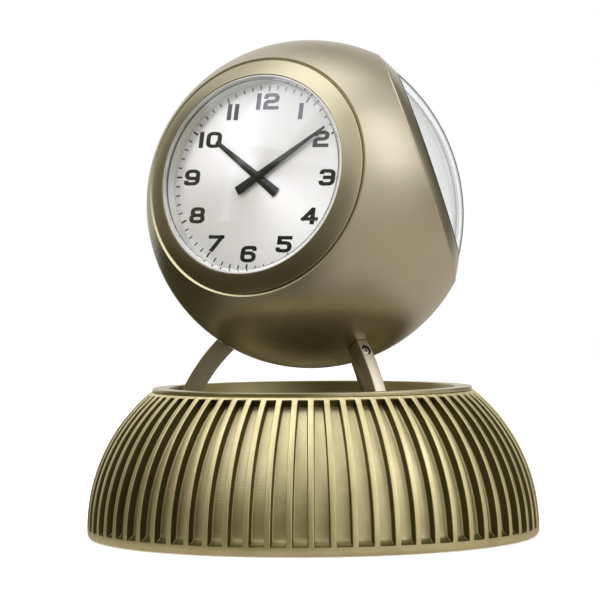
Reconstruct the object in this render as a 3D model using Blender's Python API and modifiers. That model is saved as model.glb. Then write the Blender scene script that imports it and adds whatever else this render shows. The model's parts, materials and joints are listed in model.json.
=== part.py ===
"""Table clock: a hollow ball with three clock inserts, on three curved legs over a ribbed bowl foot.

Metres, +Z up. The origin is the middle of the foot's resting face. The first face looks to -Y.
"""
import math

import bmesh
import bpy
from mathutils import Matrix, Vector

# Shared fits
GAP = 0.0003                    # clearance between pieces that touch
OVERRUN = 0.002                 # how far a cutter reaches past what it cuts
MERGE = 0.00001                 # merge distance of turned shapes

# Ball
BALL_RADIUS = 0.1000
BALL_HEIGHT = 0.2020            # centre of the ball above the table
BALL_WALL = 0.0035
BALL_LEAN = math.radians(4.7)   # the ball sits a little forward on its legs
BALL_LEAN_TOWARDS = math.radians(18)

# Faces
FACE_COUNT = 3
FACE_TILT = math.radians(17.4)
MOUTH_HALF_ANGLE = math.radians(45.4)    # of an opening, seen from the ball's centre
SEAT_DROP = 0.0037              # from an opening's lip to the ledge that the bezel rests on
SEAT_DEPTH = 0.0040
SEAT_OVERLAP = 0.0015           # how deep the seat ring reaches into the ball's wall

# Bezel
SPIGOT_STEP = 0.0052            # width of the bezel's shoulder on the ledge
BEZEL_EDGE_RISE = 0.0002        # outer edge above the opening's lip
BEZEL_SLOPE_RISE = 0.0046       # inner edge above the outer edge
BEZEL_WIDTH = 0.0103
BEZEL_LIP = 0.0017              # thickness of the lip that holds the crystal
SPIGOT_WALL = 0.0029
SPIGOT_LENGTH = 0.0090

# Crystal and gasket
GASKET_THICKNESS = 0.0008
DOME_RADIUS = 0.1126
DOME_FOOT_RISE = 0.0005         # foot of the dome above the bezel
CRYSTAL_THICKNESS = 0.0040
CRYSTAL_RIM_WIDTH = 0.0026      # solid glass between the side and the inner dome
CRYSTAL_FLANGE = 0.0024

# Dial group
REHAUT_TOP_SET_IN = 0.0012      # inside the bezel's inner edge
REHAUT_SLOPE_WIDTH = 0.0032
REHAUT_HEIGHT = 0.0056
DIAL_THICKNESS = 0.0008
DIAL_HOLE_RADIUS = 0.0022

# Movement
HOLDER_THICKNESS = 0.0030
MOVEMENT_PLATE = 0.0600         # side of the square front plate
MOVEMENT_SIDE = 0.0560
MOVEMENT_DEPTH = 0.0140
COVER_THICKNESS = 0.0020
BATTERY_RADIUS = 0.00705
BATTERY_LENGTH = 0.0490
BATTERY_NUB_RADIUS = 0.0025
BATTERY_NUB = 0.0010
BATTERY_OFFSET = 0.0165         # below the hands' axis
KNOB_RADIUS = 0.0060
KNOB_THICKNESS = 0.0035

# Hands
CLOCK_HOURS = 12
HOUR_MINUTES = 60
SHOWN_HOUR = 10
SHOWN_MINUTE = 9
ARBOR_RADIUS = 0.0007
PIPE_WALL = 0.0006
PIPE_LENGTH = 0.0038
HAND_THICKNESS = 0.0006
HOUR_HAND_LIFT = 0.0008         # above the dial
MINUTE_HAND_LIFT = 0.0018
HOUR_HAND_SHORTER = 0.0128      # than the minute hand
HOUR_HAND_TAIL = 0.0165
HOUR_HAND_TIP_WIDTH = 0.0024
MINUTE_HAND_MARGIN = 0.0056     # between its tip and the ring round the dial
MINUTE_HAND_TAIL = 0.0152
MINUTE_HAND_TIP_WIDTH = 0.0015
HAND_TAIL_WIDTH = 0.0060
CAP_RADIUS = 0.0018
CAP_THICKNESS = 0.0007

# Foot casting
FOOT_RADIUS = 0.1378
FOOT_LIFT = 0.0004              # the felt carries the foot this far off the table
FOOT_EDGE = 0.0028              # chamfer of the lower edge
RING_TOP = 0.0059
RIB_COUNT = 69
RIB_WIDTH = 0.0034
RIB_ARC_RADIUS = 0.1066
GROOVE_DEPTH = 0.0055
GROOVE_LOW_RAMP = 0.0055
GROOVE_TOP_RAMP = 0.0004
SHOULDER_BAND = 0.0019          # plain band above the grooves
CASTING_WALL = 0.0045

# Dish
DISH_TOP = 0.0909
FLANGE_THICKNESS = 0.0023
FLANGE_SET_IN = 0.0013          # inside the casting's top edge
FLANGE_WIDTH = 0.0101
DISH_WALL = 0.0025
DISH_DEPTH = 0.0189
DISH_FLOOR = 0.0030
DISH_BOSS_RADIUS = 0.0080
DISH_BOSS_LENGTH = 0.0080

# Base plate, felt and centre bolt
FELT_THICKNESS = 0.0016
FELT_MARGIN = 0.0096            # felt edge inside the plate's edge
PLATE_MARGIN = 0.0102           # plate edge inside the casting's edge
PLATE_THICKNESS = 0.0028
PLATE_LEDGE = 0.0044            # width of the casting's ledge above the plate
HUB_RADIUS = 0.0150
HUB_HEIGHT = 0.0073
BOLT_RADIUS = 0.0030
BOLT_HEAD_RADIUS = 0.0065
BOLT_HEAD_HEIGHT = 0.0050
FELT_HOLE_RADIUS = 0.0100
BOLT_HEAD_LIFT = 0.0020         # above the table

# Legs, drawn in the plane through the ball's axis
LEG_COUNT = 3
LEG_WIDTH = 0.0075
LEG_DEPTH = 0.0116
LEG_BEND_RADIUS = 0.1100
LEG_TOP_TURN = math.radians(13.2)        # how much flatter a leg starts than its bolt lies
LEG_FOOT_MARGIN = 0.0015        # between a leg's foot and the dish's wall
LEG_BOLT_RADIUS = 0.0025
LEG_BOLT_REACH = 0.0115         # length of bolt in the leg
LEG_BOLT_HEAD_RADIUS = 0.0042
LEG_BOLT_HEAD_HEIGHT = 0.0030
PAD_RADIUS = 0.0060
PAD_HEIGHT = 0.0020             # bolt pad inside the ball's wall
SET_SCREW_RADIUS = 0.0022
SET_SCREW_FROM_END = 0.0086
SET_SCREW_RECESS = 0.0010
FOOT_SCREW_RADIUS = 0.0020
FOOT_SCREW_REACH = 0.0075
FOOT_SCREW_HEAD_RADIUS = 0.0035
FOOT_SCREW_HEAD_HEIGHT = 0.0025

# Facets
BALL_STEPS = 44
HOLLOW_STEPS = 32
FOOT_STEPS = 42
FACE_STEPS = 30
FINE_STEPS = 10
ARC_STEPS = 3
DOME_STEPS = 3

# Foot, worked out from the sizes above
SHOULDER_TOP = DISH_TOP - FLANGE_THICKNESS - GAP
DISH_FLOOR_TOP = DISH_TOP - DISH_DEPTH
DISH_FLOOR_UNDER = DISH_FLOOR_TOP - DISH_FLOOR
RIB_ARC_CENTRE = FOOT_RADIUS - RIB_ARC_RADIUS
SHOULDER_ANGLE = math.asin((SHOULDER_TOP - RING_TOP) / RIB_ARC_RADIUS)
SHOULDER_RADIUS = RIB_ARC_CENTRE + RIB_ARC_RADIUS * math.cos(SHOULDER_ANGLE)
FLANGE_RADIUS = SHOULDER_RADIUS - FLANGE_SET_IN
DISH_MOUTH_RADIUS = FLANGE_RADIUS - FLANGE_WIDTH
PLATE_RADIUS = FOOT_RADIUS - PLATE_MARGIN
PLATE_UNDER = FELT_THICKNESS + GAP
PLATE_TOP = PLATE_UNDER + PLATE_THICKNESS
LEG_FOOT_EDGE = DISH_MOUTH_RADIUS - LEG_FOOT_MARGIN
LEG_FOOT_HEIGHT = DISH_FLOOR_TOP + GAP

# Inserts, where t is the distance from the ball's centre along a face's axis
MOUTH_RADIUS = BALL_RADIUS * math.sin(MOUTH_HALF_ANGLE)
MOUTH_T = BALL_RADIUS * math.cos(MOUTH_HALF_ANGLE)
SEAT_T = MOUTH_T - SEAT_DROP
BEZEL_RADIUS = MOUTH_RADIUS - GAP
BEZEL_EDGE_T = MOUTH_T + BEZEL_EDGE_RISE
BEZEL_FRONT_T = BEZEL_EDGE_T + BEZEL_SLOPE_RISE
BEZEL_BORE_RADIUS = BEZEL_RADIUS - BEZEL_WIDTH
SPIGOT_RADIUS = BEZEL_RADIUS - SPIGOT_STEP
SPIGOT_BACK_T = SEAT_T - SPIGOT_LENGTH
SEAT_BORE_RADIUS = SPIGOT_RADIUS + GAP
SPIGOT_BORE = SPIGOT_RADIUS - SPIGOT_WALL
INSERT_RADIUS = SPIGOT_BORE - GAP
CRYSTAL_FLANGE_TOP = BEZEL_FRONT_T - BEZEL_LIP - GAP
CRYSTAL_BACK_T = CRYSTAL_FLANGE_TOP - CRYSTAL_FLANGE
CRYSTAL_SIDE = BEZEL_BORE_RADIUS - GASKET_THICKNESS - GAP - GAP
DOME_FOOT_T = BEZEL_FRONT_T + DOME_FOOT_RISE
CRYSTAL_APEX_T = DOME_FOOT_T + DOME_RADIUS - math.sqrt(DOME_RADIUS ** 2 - CRYSTAL_SIDE ** 2)
REHAUT_TOP_RADIUS = BEZEL_BORE_RADIUS - REHAUT_TOP_SET_IN
REHAUT_FOOT_RADIUS = REHAUT_TOP_RADIUS - REHAUT_SLOPE_WIDTH
REHAUT_TOP_T = CRYSTAL_BACK_T - GAP
REHAUT_FOOT_T = REHAUT_TOP_T - REHAUT_HEIGHT
DIAL_FRONT_T = REHAUT_FOOT_T - GAP
DIAL_BACK_T = DIAL_FRONT_T - DIAL_THICKNESS
HOLDER_FRONT_T = DIAL_BACK_T - GAP
HOLDER_BACK_T = HOLDER_FRONT_T - HOLDER_THICKNESS
MOVEMENT_BACK_T = HOLDER_BACK_T - MOVEMENT_DEPTH
PIPE_RADIUS = ARBOR_RADIUS + GAP + PIPE_WALL
MINUTE_HAND_LENGTH = REHAUT_FOOT_RADIUS - MINUTE_HAND_MARGIN
HOUR_HAND_LENGTH = MINUTE_HAND_LENGTH - HOUR_HAND_SHORTER
HOUR_HAND_T = DIAL_FRONT_T + HOUR_HAND_LIFT
MINUTE_HAND_T = DIAL_FRONT_T + MINUTE_HAND_LIFT
KNOB_FRONT_T = MOVEMENT_BACK_T - GAP
KNOB_BACK_T = KNOB_FRONT_T - KNOB_THICKNESS
FULL_TURN = math.tau
RIB_PITCH = FULL_TURN / RIB_COUNT

COLOURS = {
    "champagne": ((0.47, 0.40, 0.26), 0.38, 1.0),
    "cast_gold": ((0.50, 0.43, 0.25), 0.42, 1.0),
    "bezel_gold": ((0.44, 0.38, 0.22), 0.35, 1.0),
    "leg_bronze": ((0.42, 0.35, 0.26), 0.38, 1.0),
    "steel": ((0.62, 0.62, 0.60), 0.30, 1.0),
    "brass": ((0.72, 0.56, 0.27), 0.30, 1.0),
    "glass": ((0.92, 0.95, 0.94), 0.03, 0.0),
    "rubber": ((0.03, 0.03, 0.03), 0.70, 0.0),
    "silver": ((0.82, 0.81, 0.80), 0.32, 0.6),
    "black_paint": ((0.02, 0.02, 0.02), 0.30, 0.0),
    "black_plastic": ((0.04, 0.04, 0.045), 0.50, 0.0),
    "grey_plastic": ((0.30, 0.30, 0.31), 0.50, 0.0),
    "battery_sleeve": ((0.35, 0.12, 0.05), 0.40, 0.2),
    "felt": ((0.03, 0.035, 0.03), 0.95, 0.0),
}


def empty_scene():
    """Removes what the file opens with and makes the two collections."""
    for thing in list(bpy.data.objects):
        bpy.data.objects.remove(thing)
    for name in ("table_clock", "cutters"):
        collection = bpy.data.collections.new(name)
        bpy.context.scene.collection.children.link(collection)


def material(name):
    """The finish of that name, made once."""
    known = bpy.data.materials.get(name)
    if known:
        return known
    colour, roughness, metallic = COLOURS[name]
    made = bpy.data.materials.new(name)
    made.use_nodes = True
    shader = made.node_tree.nodes["Principled BSDF"]
    shader.inputs["Base Color"].default_value = (*colour, 1)
    shader.inputs["Roughness"].default_value = roughness
    shader.inputs["Metallic"].default_value = metallic
    return made


def place(name, data, finish=None, parent=None, matrix=None):
    """A new object: a part when it has a finish, and otherwise a cutter."""
    thing = bpy.data.objects.new(name, data)
    home = "table_clock" if finish else "cutters"
    bpy.data.collections[home].objects.link(thing)
    if finish:
        data.materials.append(material(finish))
    else:
        thing.hide_render = True
        thing.display_type = "WIRE"
    thing.parent = parent
    if matrix is not None:
        thing.matrix_local = matrix
    return thing


def frame(name, matrix):
    """An empty that carries the pieces of one place."""
    holder = bpy.data.objects.new(name, None)
    bpy.data.collections["table_clock"].objects.link(holder)
    holder.matrix_world = matrix
    return holder


def finished(bm, name):
    """Mesh data from a bmesh, shaded smooth up to its sharp edges."""
    mesh = bpy.data.meshes.new(name)
    bm.to_mesh(mesh)
    bm.free()
    mesh.shade_smooth()
    mesh.set_sharp_from_angle(angle=math.radians(30))
    return mesh


def turned(name, outline, finish=None, parent=None, matrix=None, steps=FACE_STEPS, ring=False):
    """A turned piece from its (radius, height) outline, which runs down the outer side."""
    bm = bmesh.new()
    verts = [bm.verts.new((radius, 0, height)) for radius, height in outline]
    for one, other in zip(verts, verts[1:]):
        bm.edges.new((one, other))
    if ring:
        bm.edges.new((verts[-1], verts[0]))
    mesh = bpy.data.meshes.new(name)
    bm.to_mesh(mesh)
    bm.free()
    thing = place(name, mesh, finish, parent, matrix)
    screw = thing.modifiers.new("turn", "SCREW")
    screw.axis = "Z"
    screw.angle = FULL_TURN
    screw.steps = steps
    screw.render_steps = steps
    screw.use_merge_vertices = True
    screw.merge_threshold = MERGE
    screw.use_smooth_shade = True
    return thing


def disc(name, radius, top, bottom, **rest):
    """A plain turned disc or rod between two heights."""
    return turned(name, [(0, top), (radius, top), (radius, bottom), (0, bottom)], **rest)


def washer(name, radius, bore, top, bottom, **rest):
    """A turned ring of rectangular section."""
    outline = [(bore, top), (radius, top), (radius, bottom), (bore, bottom)]
    return turned(name, outline, ring=True, **rest)


def block(name, size, centre, finish=None, parent=None):
    """A box of three side lengths about a centre."""
    bm = bmesh.new()
    bmesh.ops.create_cube(bm, size=1)
    bmesh.ops.scale(bm, vec=size, verts=bm.verts)
    bmesh.ops.translate(bm, vec=centre, verts=bm.verts)
    return place(name, finished(bm, name), finish, parent)


def plate_from_outline(name, outline, thickness, finish=None, parent=None, matrix=None):
    """A flat plate from a 2D curve, turned into a closed mesh so that it can be cut."""
    curve = bpy.data.curves.new(name + "_outline", "CURVE")
    curve.dimensions = "2D"
    curve.fill_mode = "BOTH"
    curve.extrude = thickness / 2
    spline = curve.splines.new("POLY")
    spline.points.add(len(outline) - 1)
    for point, (x, y) in zip(spline.points, outline):
        point.co = (x, y, 0, 1)
    spline.use_cyclic_u = True
    drawn = bpy.data.objects.new(name + "_outline", curve)
    bpy.context.scene.collection.objects.link(drawn)
    graph = bpy.context.evaluated_depsgraph_get()
    mesh = bpy.data.meshes.new_from_object(drawn.evaluated_get(graph))
    bpy.data.objects.remove(drawn)
    bm = bmesh.new()
    bm.from_mesh(mesh)
    bmesh.ops.remove_doubles(bm, verts=bm.verts, dist=MERGE)
    bm.to_mesh(mesh)
    bm.free()
    mesh.name = name
    return place(name, mesh, finish, parent, matrix)


def boolean(target, tool, operation="DIFFERENCE", solver="EXACT"):
    """Cuts or joins a tool object."""
    modifier = target.modifiers.new(tool.name, "BOOLEAN")
    modifier.operation = operation
    modifier.solver = solver
    modifier.object = tool


def face_matrix(number):
    """Frame of a face: +Z out along its axis, +Y up on its dial, from the ball's centre."""
    towards = BALL_LEAN_TOWARDS
    lean_axis = Vector((math.cos(towards), math.sin(towards), 0))
    lean = Matrix.Rotation(BALL_LEAN, 4, lean_axis)
    azimuth = Matrix.Rotation(FULL_TURN * number / FACE_COUNT, 4, "Z")
    tilt = Matrix.Rotation(math.pi / 2 - FACE_TILT, 4, "X")
    return Matrix.Translation((0, 0, BALL_HEIGHT)) @ lean @ azimuth @ tilt


def leg_matrix(number):
    """Frame of a leg: +X outwards, half way between two faces."""
    azimuth = FULL_TURN * (number + 1 / 2) / LEG_COUNT
    return Matrix.Rotation(azimuth - math.pi / 2, 4, "Z")


def dome(radius, apex, start, end, count):
    """Points of a dome's profile from one radius to another, about an apex on the axis."""
    first = math.asin(start / radius)
    last = math.asin(end / radius)
    points = []
    for k in range(count + 1):
        angle = first + (last - first) * k / count
        points.append((radius * math.sin(angle), apex - radius + radius * math.cos(angle)))
    return points


def rib_profile(depth):
    """(radius, height) up the casting's outside, in a groove of some depth square to it."""
    groove_end = SHOULDER_ANGLE - SHOULDER_BAND / RIB_ARC_RADIUS
    first = GROOVE_LOW_RAMP / RIB_ARC_RADIUS
    last = groove_end - GROOVE_TOP_RAMP / RIB_ARC_RADIUS
    cuts = [(first + (last - first) * k / ARC_STEPS, depth) for k in range(ARC_STEPS + 1)]
    profile = [(FOOT_RADIUS - FOOT_EDGE, FOOT_LIFT), (FOOT_RADIUS, FOOT_LIFT + FOOT_EDGE)]
    for angle, sunk in [(0, 0), *cuts, (groove_end, 0), (SHOULDER_ANGLE, 0)]:
        reach = RIB_ARC_RADIUS - sunk
        profile.append((RIB_ARC_CENTRE + reach * math.cos(angle), RING_TOP + reach * math.sin(angle)))
    return profile


def ribbed_solid(name, finish):
    """The casting's outside: a loft of rib tips and groove floors in turn round the axis."""
    bm = bmesh.new()
    stations = []
    for rib in range(RIB_COUNT):
        turn = Matrix.Rotation((rib + 1 / 2) * RIB_PITCH, 4, "Z")
        for depth, side in ((GROOVE_DEPTH, -1), (0, -1), (0, 1), (GROOVE_DEPTH, 1)):
            stations.append([bm.verts.new(turn @ Vector((side * RIB_WIDTH / 2, -radius, height)))
                             for radius, height in rib_profile(depth)])
    for one, other in zip(stations, stations[1:] + stations[:1]):
        for low in range(len(one) - 1):
            bm.faces.new((one[low], other[low], other[low + 1], one[low + 1]))
    bm.faces.new([station[0] for station in reversed(stations)])
    bm.faces.new([station[-1] for station in stations])
    bmesh.ops.remove_doubles(bm, verts=bm.verts, dist=MERGE)
    return place(name, finished(bm, name), finish)


def casting_cavity():
    """Cutter for the casting's inside: the dish's bore, the hollow and the plate's rebate."""
    inner_radius = RIB_ARC_RADIUS - GROOVE_DEPTH - CASTING_WALL
    bore = DISH_MOUTH_RADIUS + DISH_WALL + GAP
    ledge_radius = PLATE_RADIUS + GAP - PLATE_LEDGE
    start = math.acos((bore - RIB_ARC_CENTRE) / inner_radius)
    end = math.acos((ledge_radius - RIB_ARC_CENTRE) / inner_radius)
    outline = [(0, SHOULDER_TOP + OVERRUN), (bore, SHOULDER_TOP + OVERRUN)]
    for k in range(ARC_STEPS + 1):
        angle = start + (end - start) * k / ARC_STEPS
        radius = RIB_ARC_CENTRE + inner_radius * math.cos(angle)
        outline.append((radius, RING_TOP + inner_radius * math.sin(angle)))
    ledge = PLATE_TOP + GAP
    outline += [(ledge_radius, ledge), (PLATE_RADIUS + GAP, ledge)]
    outline += [(PLATE_RADIUS + GAP, FOOT_LIFT - OVERRUN), (0, FOOT_LIFT - OVERRUN)]
    return turned("casting_cavity", outline, steps=FOOT_STEPS)


def base_casting():
    casting = ribbed_solid("base_casting", "cast_gold")
    boolean(casting, casting_cavity())


def foot_screw_place():
    """Distance of a leg's foot screw from the ball's axis."""
    return (leg_edge_at(-1, LEG_FOOT_HEIGHT) + LEG_FOOT_EDGE) / 2


def bowl_dish():
    """Turned dish with the top flange, a boss for the centre bolt and three screw holes."""
    wall = DISH_MOUTH_RADIUS + DISH_WALL
    boss_under = DISH_FLOOR_UNDER - DISH_BOSS_LENGTH
    bore = BOLT_RADIUS + GAP
    outline = [
        (0, DISH_FLOOR_TOP), (DISH_MOUTH_RADIUS, DISH_FLOOR_TOP), (DISH_MOUTH_RADIUS, DISH_TOP),
        (FLANGE_RADIUS, DISH_TOP), (FLANGE_RADIUS, DISH_TOP - FLANGE_THICKNESS),
        (wall, DISH_TOP - FLANGE_THICKNESS), (wall, DISH_FLOOR_UNDER),
        (DISH_BOSS_RADIUS, DISH_FLOOR_UNDER), (DISH_BOSS_RADIUS, boss_under),
        (bore, boss_under), (bore, DISH_FLOOR_UNDER), (0, DISH_FLOOR_UNDER)]
    dish = turned("bowl_dish", outline, "cast_gold", steps=FOOT_STEPS)
    for number in range(LEG_COUNT):
        hole = disc(
            f"dish_hole_{number + 1}", FOOT_SCREW_RADIUS + GAP, DISH_FLOOR_TOP + OVERRUN,
            DISH_FLOOR_UNDER - OVERRUN, steps=FINE_STEPS,
            matrix=leg_matrix(number) @ Matrix.Translation((foot_screw_place(), 0, 0)))
        boolean(dish, hole)


def base_plate():
    """Closing plate with a hub and a counterbore for the centre bolt."""
    hub_top = PLATE_TOP + HUB_HEIGHT
    sink = BOLT_HEAD_RADIUS + GAP
    sink_top = BOLT_HEAD_LIFT + BOLT_HEAD_HEIGHT + GAP
    bore = BOLT_RADIUS + GAP
    outline = [
        (bore, hub_top), (HUB_RADIUS, hub_top), (HUB_RADIUS, PLATE_TOP), (PLATE_RADIUS, PLATE_TOP),
        (PLATE_RADIUS, PLATE_UNDER), (sink, PLATE_UNDER), (sink, sink_top), (bore, sink_top)]
    turned("base_plate", outline, "black_plastic", steps=FOOT_STEPS, ring=True)


def felt_pad():
    washer("felt_pad", PLATE_RADIUS - FELT_MARGIN, FELT_HOLE_RADIUS, FELT_THICKNESS, 0,
           finish="felt", steps=FOOT_STEPS)


def centre_bolt():
    head_top = BOLT_HEAD_LIFT + BOLT_HEAD_HEIGHT
    tip = DISH_FLOOR_UNDER - GAP
    outline = [(0, tip), (BOLT_RADIUS, tip), (BOLT_RADIUS, head_top), (BOLT_HEAD_RADIUS, head_top),
               (BOLT_HEAD_RADIUS, BOLT_HEAD_LIFT), (0, BOLT_HEAD_LIFT)]
    turned("centre_bolt", outline, "steel", steps=FINE_STEPS)


def leg_contact_angle():
    """Angle below the ball's equator of a leg that then bends down to its foot.

    The ball's centre, the bend's centre and the outer edge of the foot make a triangle.
    """
    to_bend = Vector((BALL_RADIUS + LEG_BEND_RADIUS * math.sin(LEG_TOP_TURN),
                      LEG_BEND_RADIUS * math.cos(LEG_TOP_TURN)))
    to_foot = Vector((LEG_FOOT_EDGE, BALL_HEIGHT - LEG_FOOT_HEIGHT))
    outer = LEG_BEND_RADIUS + LEG_DEPTH / 2
    squares = to_bend.length_squared + to_foot.length_squared - outer ** 2
    corner = math.acos(squares / (2 * to_bend.length * to_foot.length))
    return math.atan2(to_foot.y, to_foot.x) + corner - math.atan2(to_bend.y, to_bend.x)


LEG_CONTACT_ANGLE = leg_contact_angle()
LEG_TOP_SLOPE = LEG_CONTACT_ANGLE - LEG_TOP_TURN


def leg_contact():
    """Where a leg's middle line meets the ball, in the leg's plane (x outwards, z up)."""
    return Vector((BALL_RADIUS * math.cos(LEG_CONTACT_ANGLE),
                   BALL_HEIGHT - BALL_RADIUS * math.sin(LEG_CONTACT_ANGLE)))


def leg_bend_centre():
    """Centre of the leg's bend: angles along the leg are its slope below the horizontal."""
    back = Vector((math.sin(LEG_TOP_SLOPE), math.cos(LEG_TOP_SLOPE)))
    return leg_contact() - LEG_BEND_RADIUS * back


def leg_point(side, slope):
    """Point of the leg's outer (1), middle (0) or inner (-1) line at a slope."""
    radius = LEG_BEND_RADIUS + side * LEG_DEPTH / 2
    return leg_bend_centre() + radius * Vector((math.sin(slope), math.cos(slope)))


def leg_slope_at(side, height):
    """Slope at which one of the leg's lines reaches a height."""
    radius = LEG_BEND_RADIUS + side * LEG_DEPTH / 2
    return math.acos((height - leg_bend_centre().y) / radius)


def leg_edge_at(side, height):
    """Distance from the ball's axis of one of the leg's lines at a height."""
    return leg_point(side, leg_slope_at(side, height)).x


def along_bolt(distance):
    """Point on a leg bolt's axis, counted outwards from the ball's surface."""
    reach = BALL_RADIUS + distance
    return Vector((reach * math.cos(LEG_CONTACT_ANGLE),
                   BALL_HEIGHT - reach * math.sin(LEG_CONTACT_ANGLE)))


def in_leg_plane(point, angle):
    """Matrix that puts a turned piece at a point of the leg's plane, its +Z raised by an angle."""
    return Matrix.Translation((point.x, 0, point.y)) @ Matrix.Rotation(math.pi / 2 - angle, 4, "Y")


def bolt_matrix():
    """Frame of a leg bolt: +Z from the ball's surface towards the ball's centre."""
    return in_leg_plane(along_bolt(0), math.pi - LEG_CONTACT_ANGLE)


def set_screw_slope():
    return LEG_TOP_SLOPE + SET_SCREW_FROM_END / LEG_BEND_RADIUS


def set_screw_matrix():
    """Frame of a set screw: +Z out of the leg's outer face."""
    slope = set_screw_slope()
    return in_leg_plane(leg_point(1, slope), math.pi / 2 - slope)


def set_screw_depth():
    """Depth from the leg's outer face to the side of the leg bolt."""
    slope = set_screw_slope()
    face = leg_point(1, slope)
    to_axis = face - along_bolt(0)
    bolt_way = Vector((math.cos(LEG_CONTACT_ANGLE), -math.sin(LEG_CONTACT_ANGLE)))
    screw_way = Vector((math.sin(slope), math.cos(slope)))
    across = Vector((-bolt_way.y, bolt_way.x))
    return (to_axis.dot(across) - LEG_BOLT_RADIUS) / screw_way.dot(across)


def leg(number):
    """Curved bar, cut to the ball at its top and flat on the dish's floor."""
    holder = frame(f"leg_frame_{number + 1}", leg_matrix(number))
    top = LEG_TOP_SLOPE - (LEG_DEPTH + OVERRUN) / LEG_BEND_RADIUS
    count = ARC_STEPS * 2
    outline = []
    for side, order in ((1, range(count + 1)), (-1, range(count, -1, -1))):
        end = leg_slope_at(side, LEG_FOOT_HEIGHT)
        outline += [leg_point(side, top + (end - top) * k / count) for k in order]
    upright = Matrix.Rotation(math.pi / 2, 4, "X")
    bar = plate_from_outline(
        f"leg_{number + 1}", outline, LEG_WIDTH, "leg_bronze", holder, upright)
    tag = f"_{number + 1}"
    bolt_bore = disc("leg_bolt_bore" + tag, LEG_BOLT_RADIUS + GAP, LEG_DEPTH,
                     -LEG_BOLT_REACH - GAP, parent=holder, matrix=bolt_matrix(), steps=FINE_STEPS)
    screw_bore = disc("set_screw_bore" + tag, SET_SCREW_RADIUS + GAP, OVERRUN,
                      -set_screw_depth(), parent=holder, matrix=set_screw_matrix(), steps=FINE_STEPS)
    foot_bore = disc("foot_screw_bore" + tag, FOOT_SCREW_RADIUS + GAP,
                     DISH_FLOOR_TOP + FOOT_SCREW_REACH + GAP, DISH_FLOOR_TOP - OVERRUN,
                     parent=holder, matrix=Matrix.Translation((foot_screw_place(), 0, 0)),
                     steps=FINE_STEPS)
    top_cut = faceted_ball("leg_top_cut" + tag, BALL_RADIUS + GAP, BALL_STEPS)
    for tool in (top_cut, bolt_bore, screw_bore, foot_bore):
        boolean(bar, tool)


def faceted_ball(name, radius, steps, finish=None):
    """A ball about the ball's centre, with a number of facets round its equator."""
    bm = bmesh.new()
    bmesh.ops.create_uvsphere(bm, u_segments=steps, v_segments=steps // 2, radius=radius)
    bmesh.ops.translate(bm, vec=(0, 0, BALL_HEIGHT), verts=bm.verts)
    return place(name, finished(bm, name), finish)


def leg_foot_screw(number):
    """Screw from below the dish's floor into a leg."""
    tip = DISH_FLOOR_TOP + FOOT_SCREW_REACH
    seat = DISH_FLOOR_UNDER - GAP
    under = seat - FOOT_SCREW_HEAD_HEIGHT
    outline = [(0, tip), (FOOT_SCREW_RADIUS, tip), (FOOT_SCREW_RADIUS, seat),
               (FOOT_SCREW_HEAD_RADIUS, seat), (FOOT_SCREW_HEAD_RADIUS, under), (0, under)]
    matrix = leg_matrix(number) @ Matrix.Translation((foot_screw_place(), 0, 0))
    turned(f"leg_foot_screw_{number + 1}", outline, "steel", matrix=matrix, steps=FINE_STEPS)


def leg_bolt(number):
    """Bolt from inside the ball into a leg's upper end."""
    seat = BALL_WALL + PAD_HEIGHT + GAP
    head = seat + LEG_BOLT_HEAD_HEIGHT
    outline = [(0, head), (LEG_BOLT_HEAD_RADIUS, head), (LEG_BOLT_HEAD_RADIUS, seat),
               (LEG_BOLT_RADIUS, seat), (LEG_BOLT_RADIUS, -LEG_BOLT_REACH), (0, -LEG_BOLT_REACH)]
    matrix = leg_matrix(number) @ bolt_matrix()
    turned(f"leg_bolt_{number + 1}", outline, "steel", matrix=matrix, steps=FINE_STEPS)


def leg_set_screw(number):
    """Headless screw in a leg's outer face, which locks the leg bolt."""
    disc(f"leg_set_screw_{number + 1}", SET_SCREW_RADIUS, -SET_SCREW_RECESS,
         GAP - set_screw_depth(), finish="steel", matrix=leg_matrix(number) @ set_screw_matrix(),
         steps=FINE_STEPS)


def on_wall(t):
    """Radius from a face's axis at which the middle of the ball's wall lies at distance t."""
    return math.sqrt((BALL_RADIUS - SEAT_OVERLAP) ** 2 - t ** 2)


def seat_ring(number):
    """Solid of the seat ring behind an opening, which reaches into the ball's wall."""
    top, under = SEAT_T + SEAT_OVERLAP, SEAT_T - SEAT_DEPTH
    inner = SEAT_BORE_RADIUS - OVERRUN
    outline = [(inner, top), (on_wall(top), top), (on_wall(under), under), (inner, under)]
    return turned(f"seat_ring_{number + 1}", outline, matrix=face_matrix(number), ring=True)


def opening(number):
    """Cutter for a stepped opening: the bezel's seat and the spigot's bore."""
    bottom = SEAT_T - SEAT_DEPTH - OVERRUN
    outline = [(0, BALL_RADIUS), (MOUTH_RADIUS, BALL_RADIUS), (MOUTH_RADIUS, SEAT_T),
               (SEAT_BORE_RADIUS, SEAT_T), (SEAT_BORE_RADIUS, bottom), (0, bottom)]
    return turned(f"opening_{number + 1}", outline, matrix=face_matrix(number))


def at_bolt(name, radius, top, bottom, number):
    """A turned solid about a leg bolt's axis, counted inwards from the ball's surface."""
    return disc(f"{name}_{number + 1}", radius, top, bottom,
                matrix=leg_matrix(number) @ bolt_matrix(), steps=FINE_STEPS)


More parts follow.
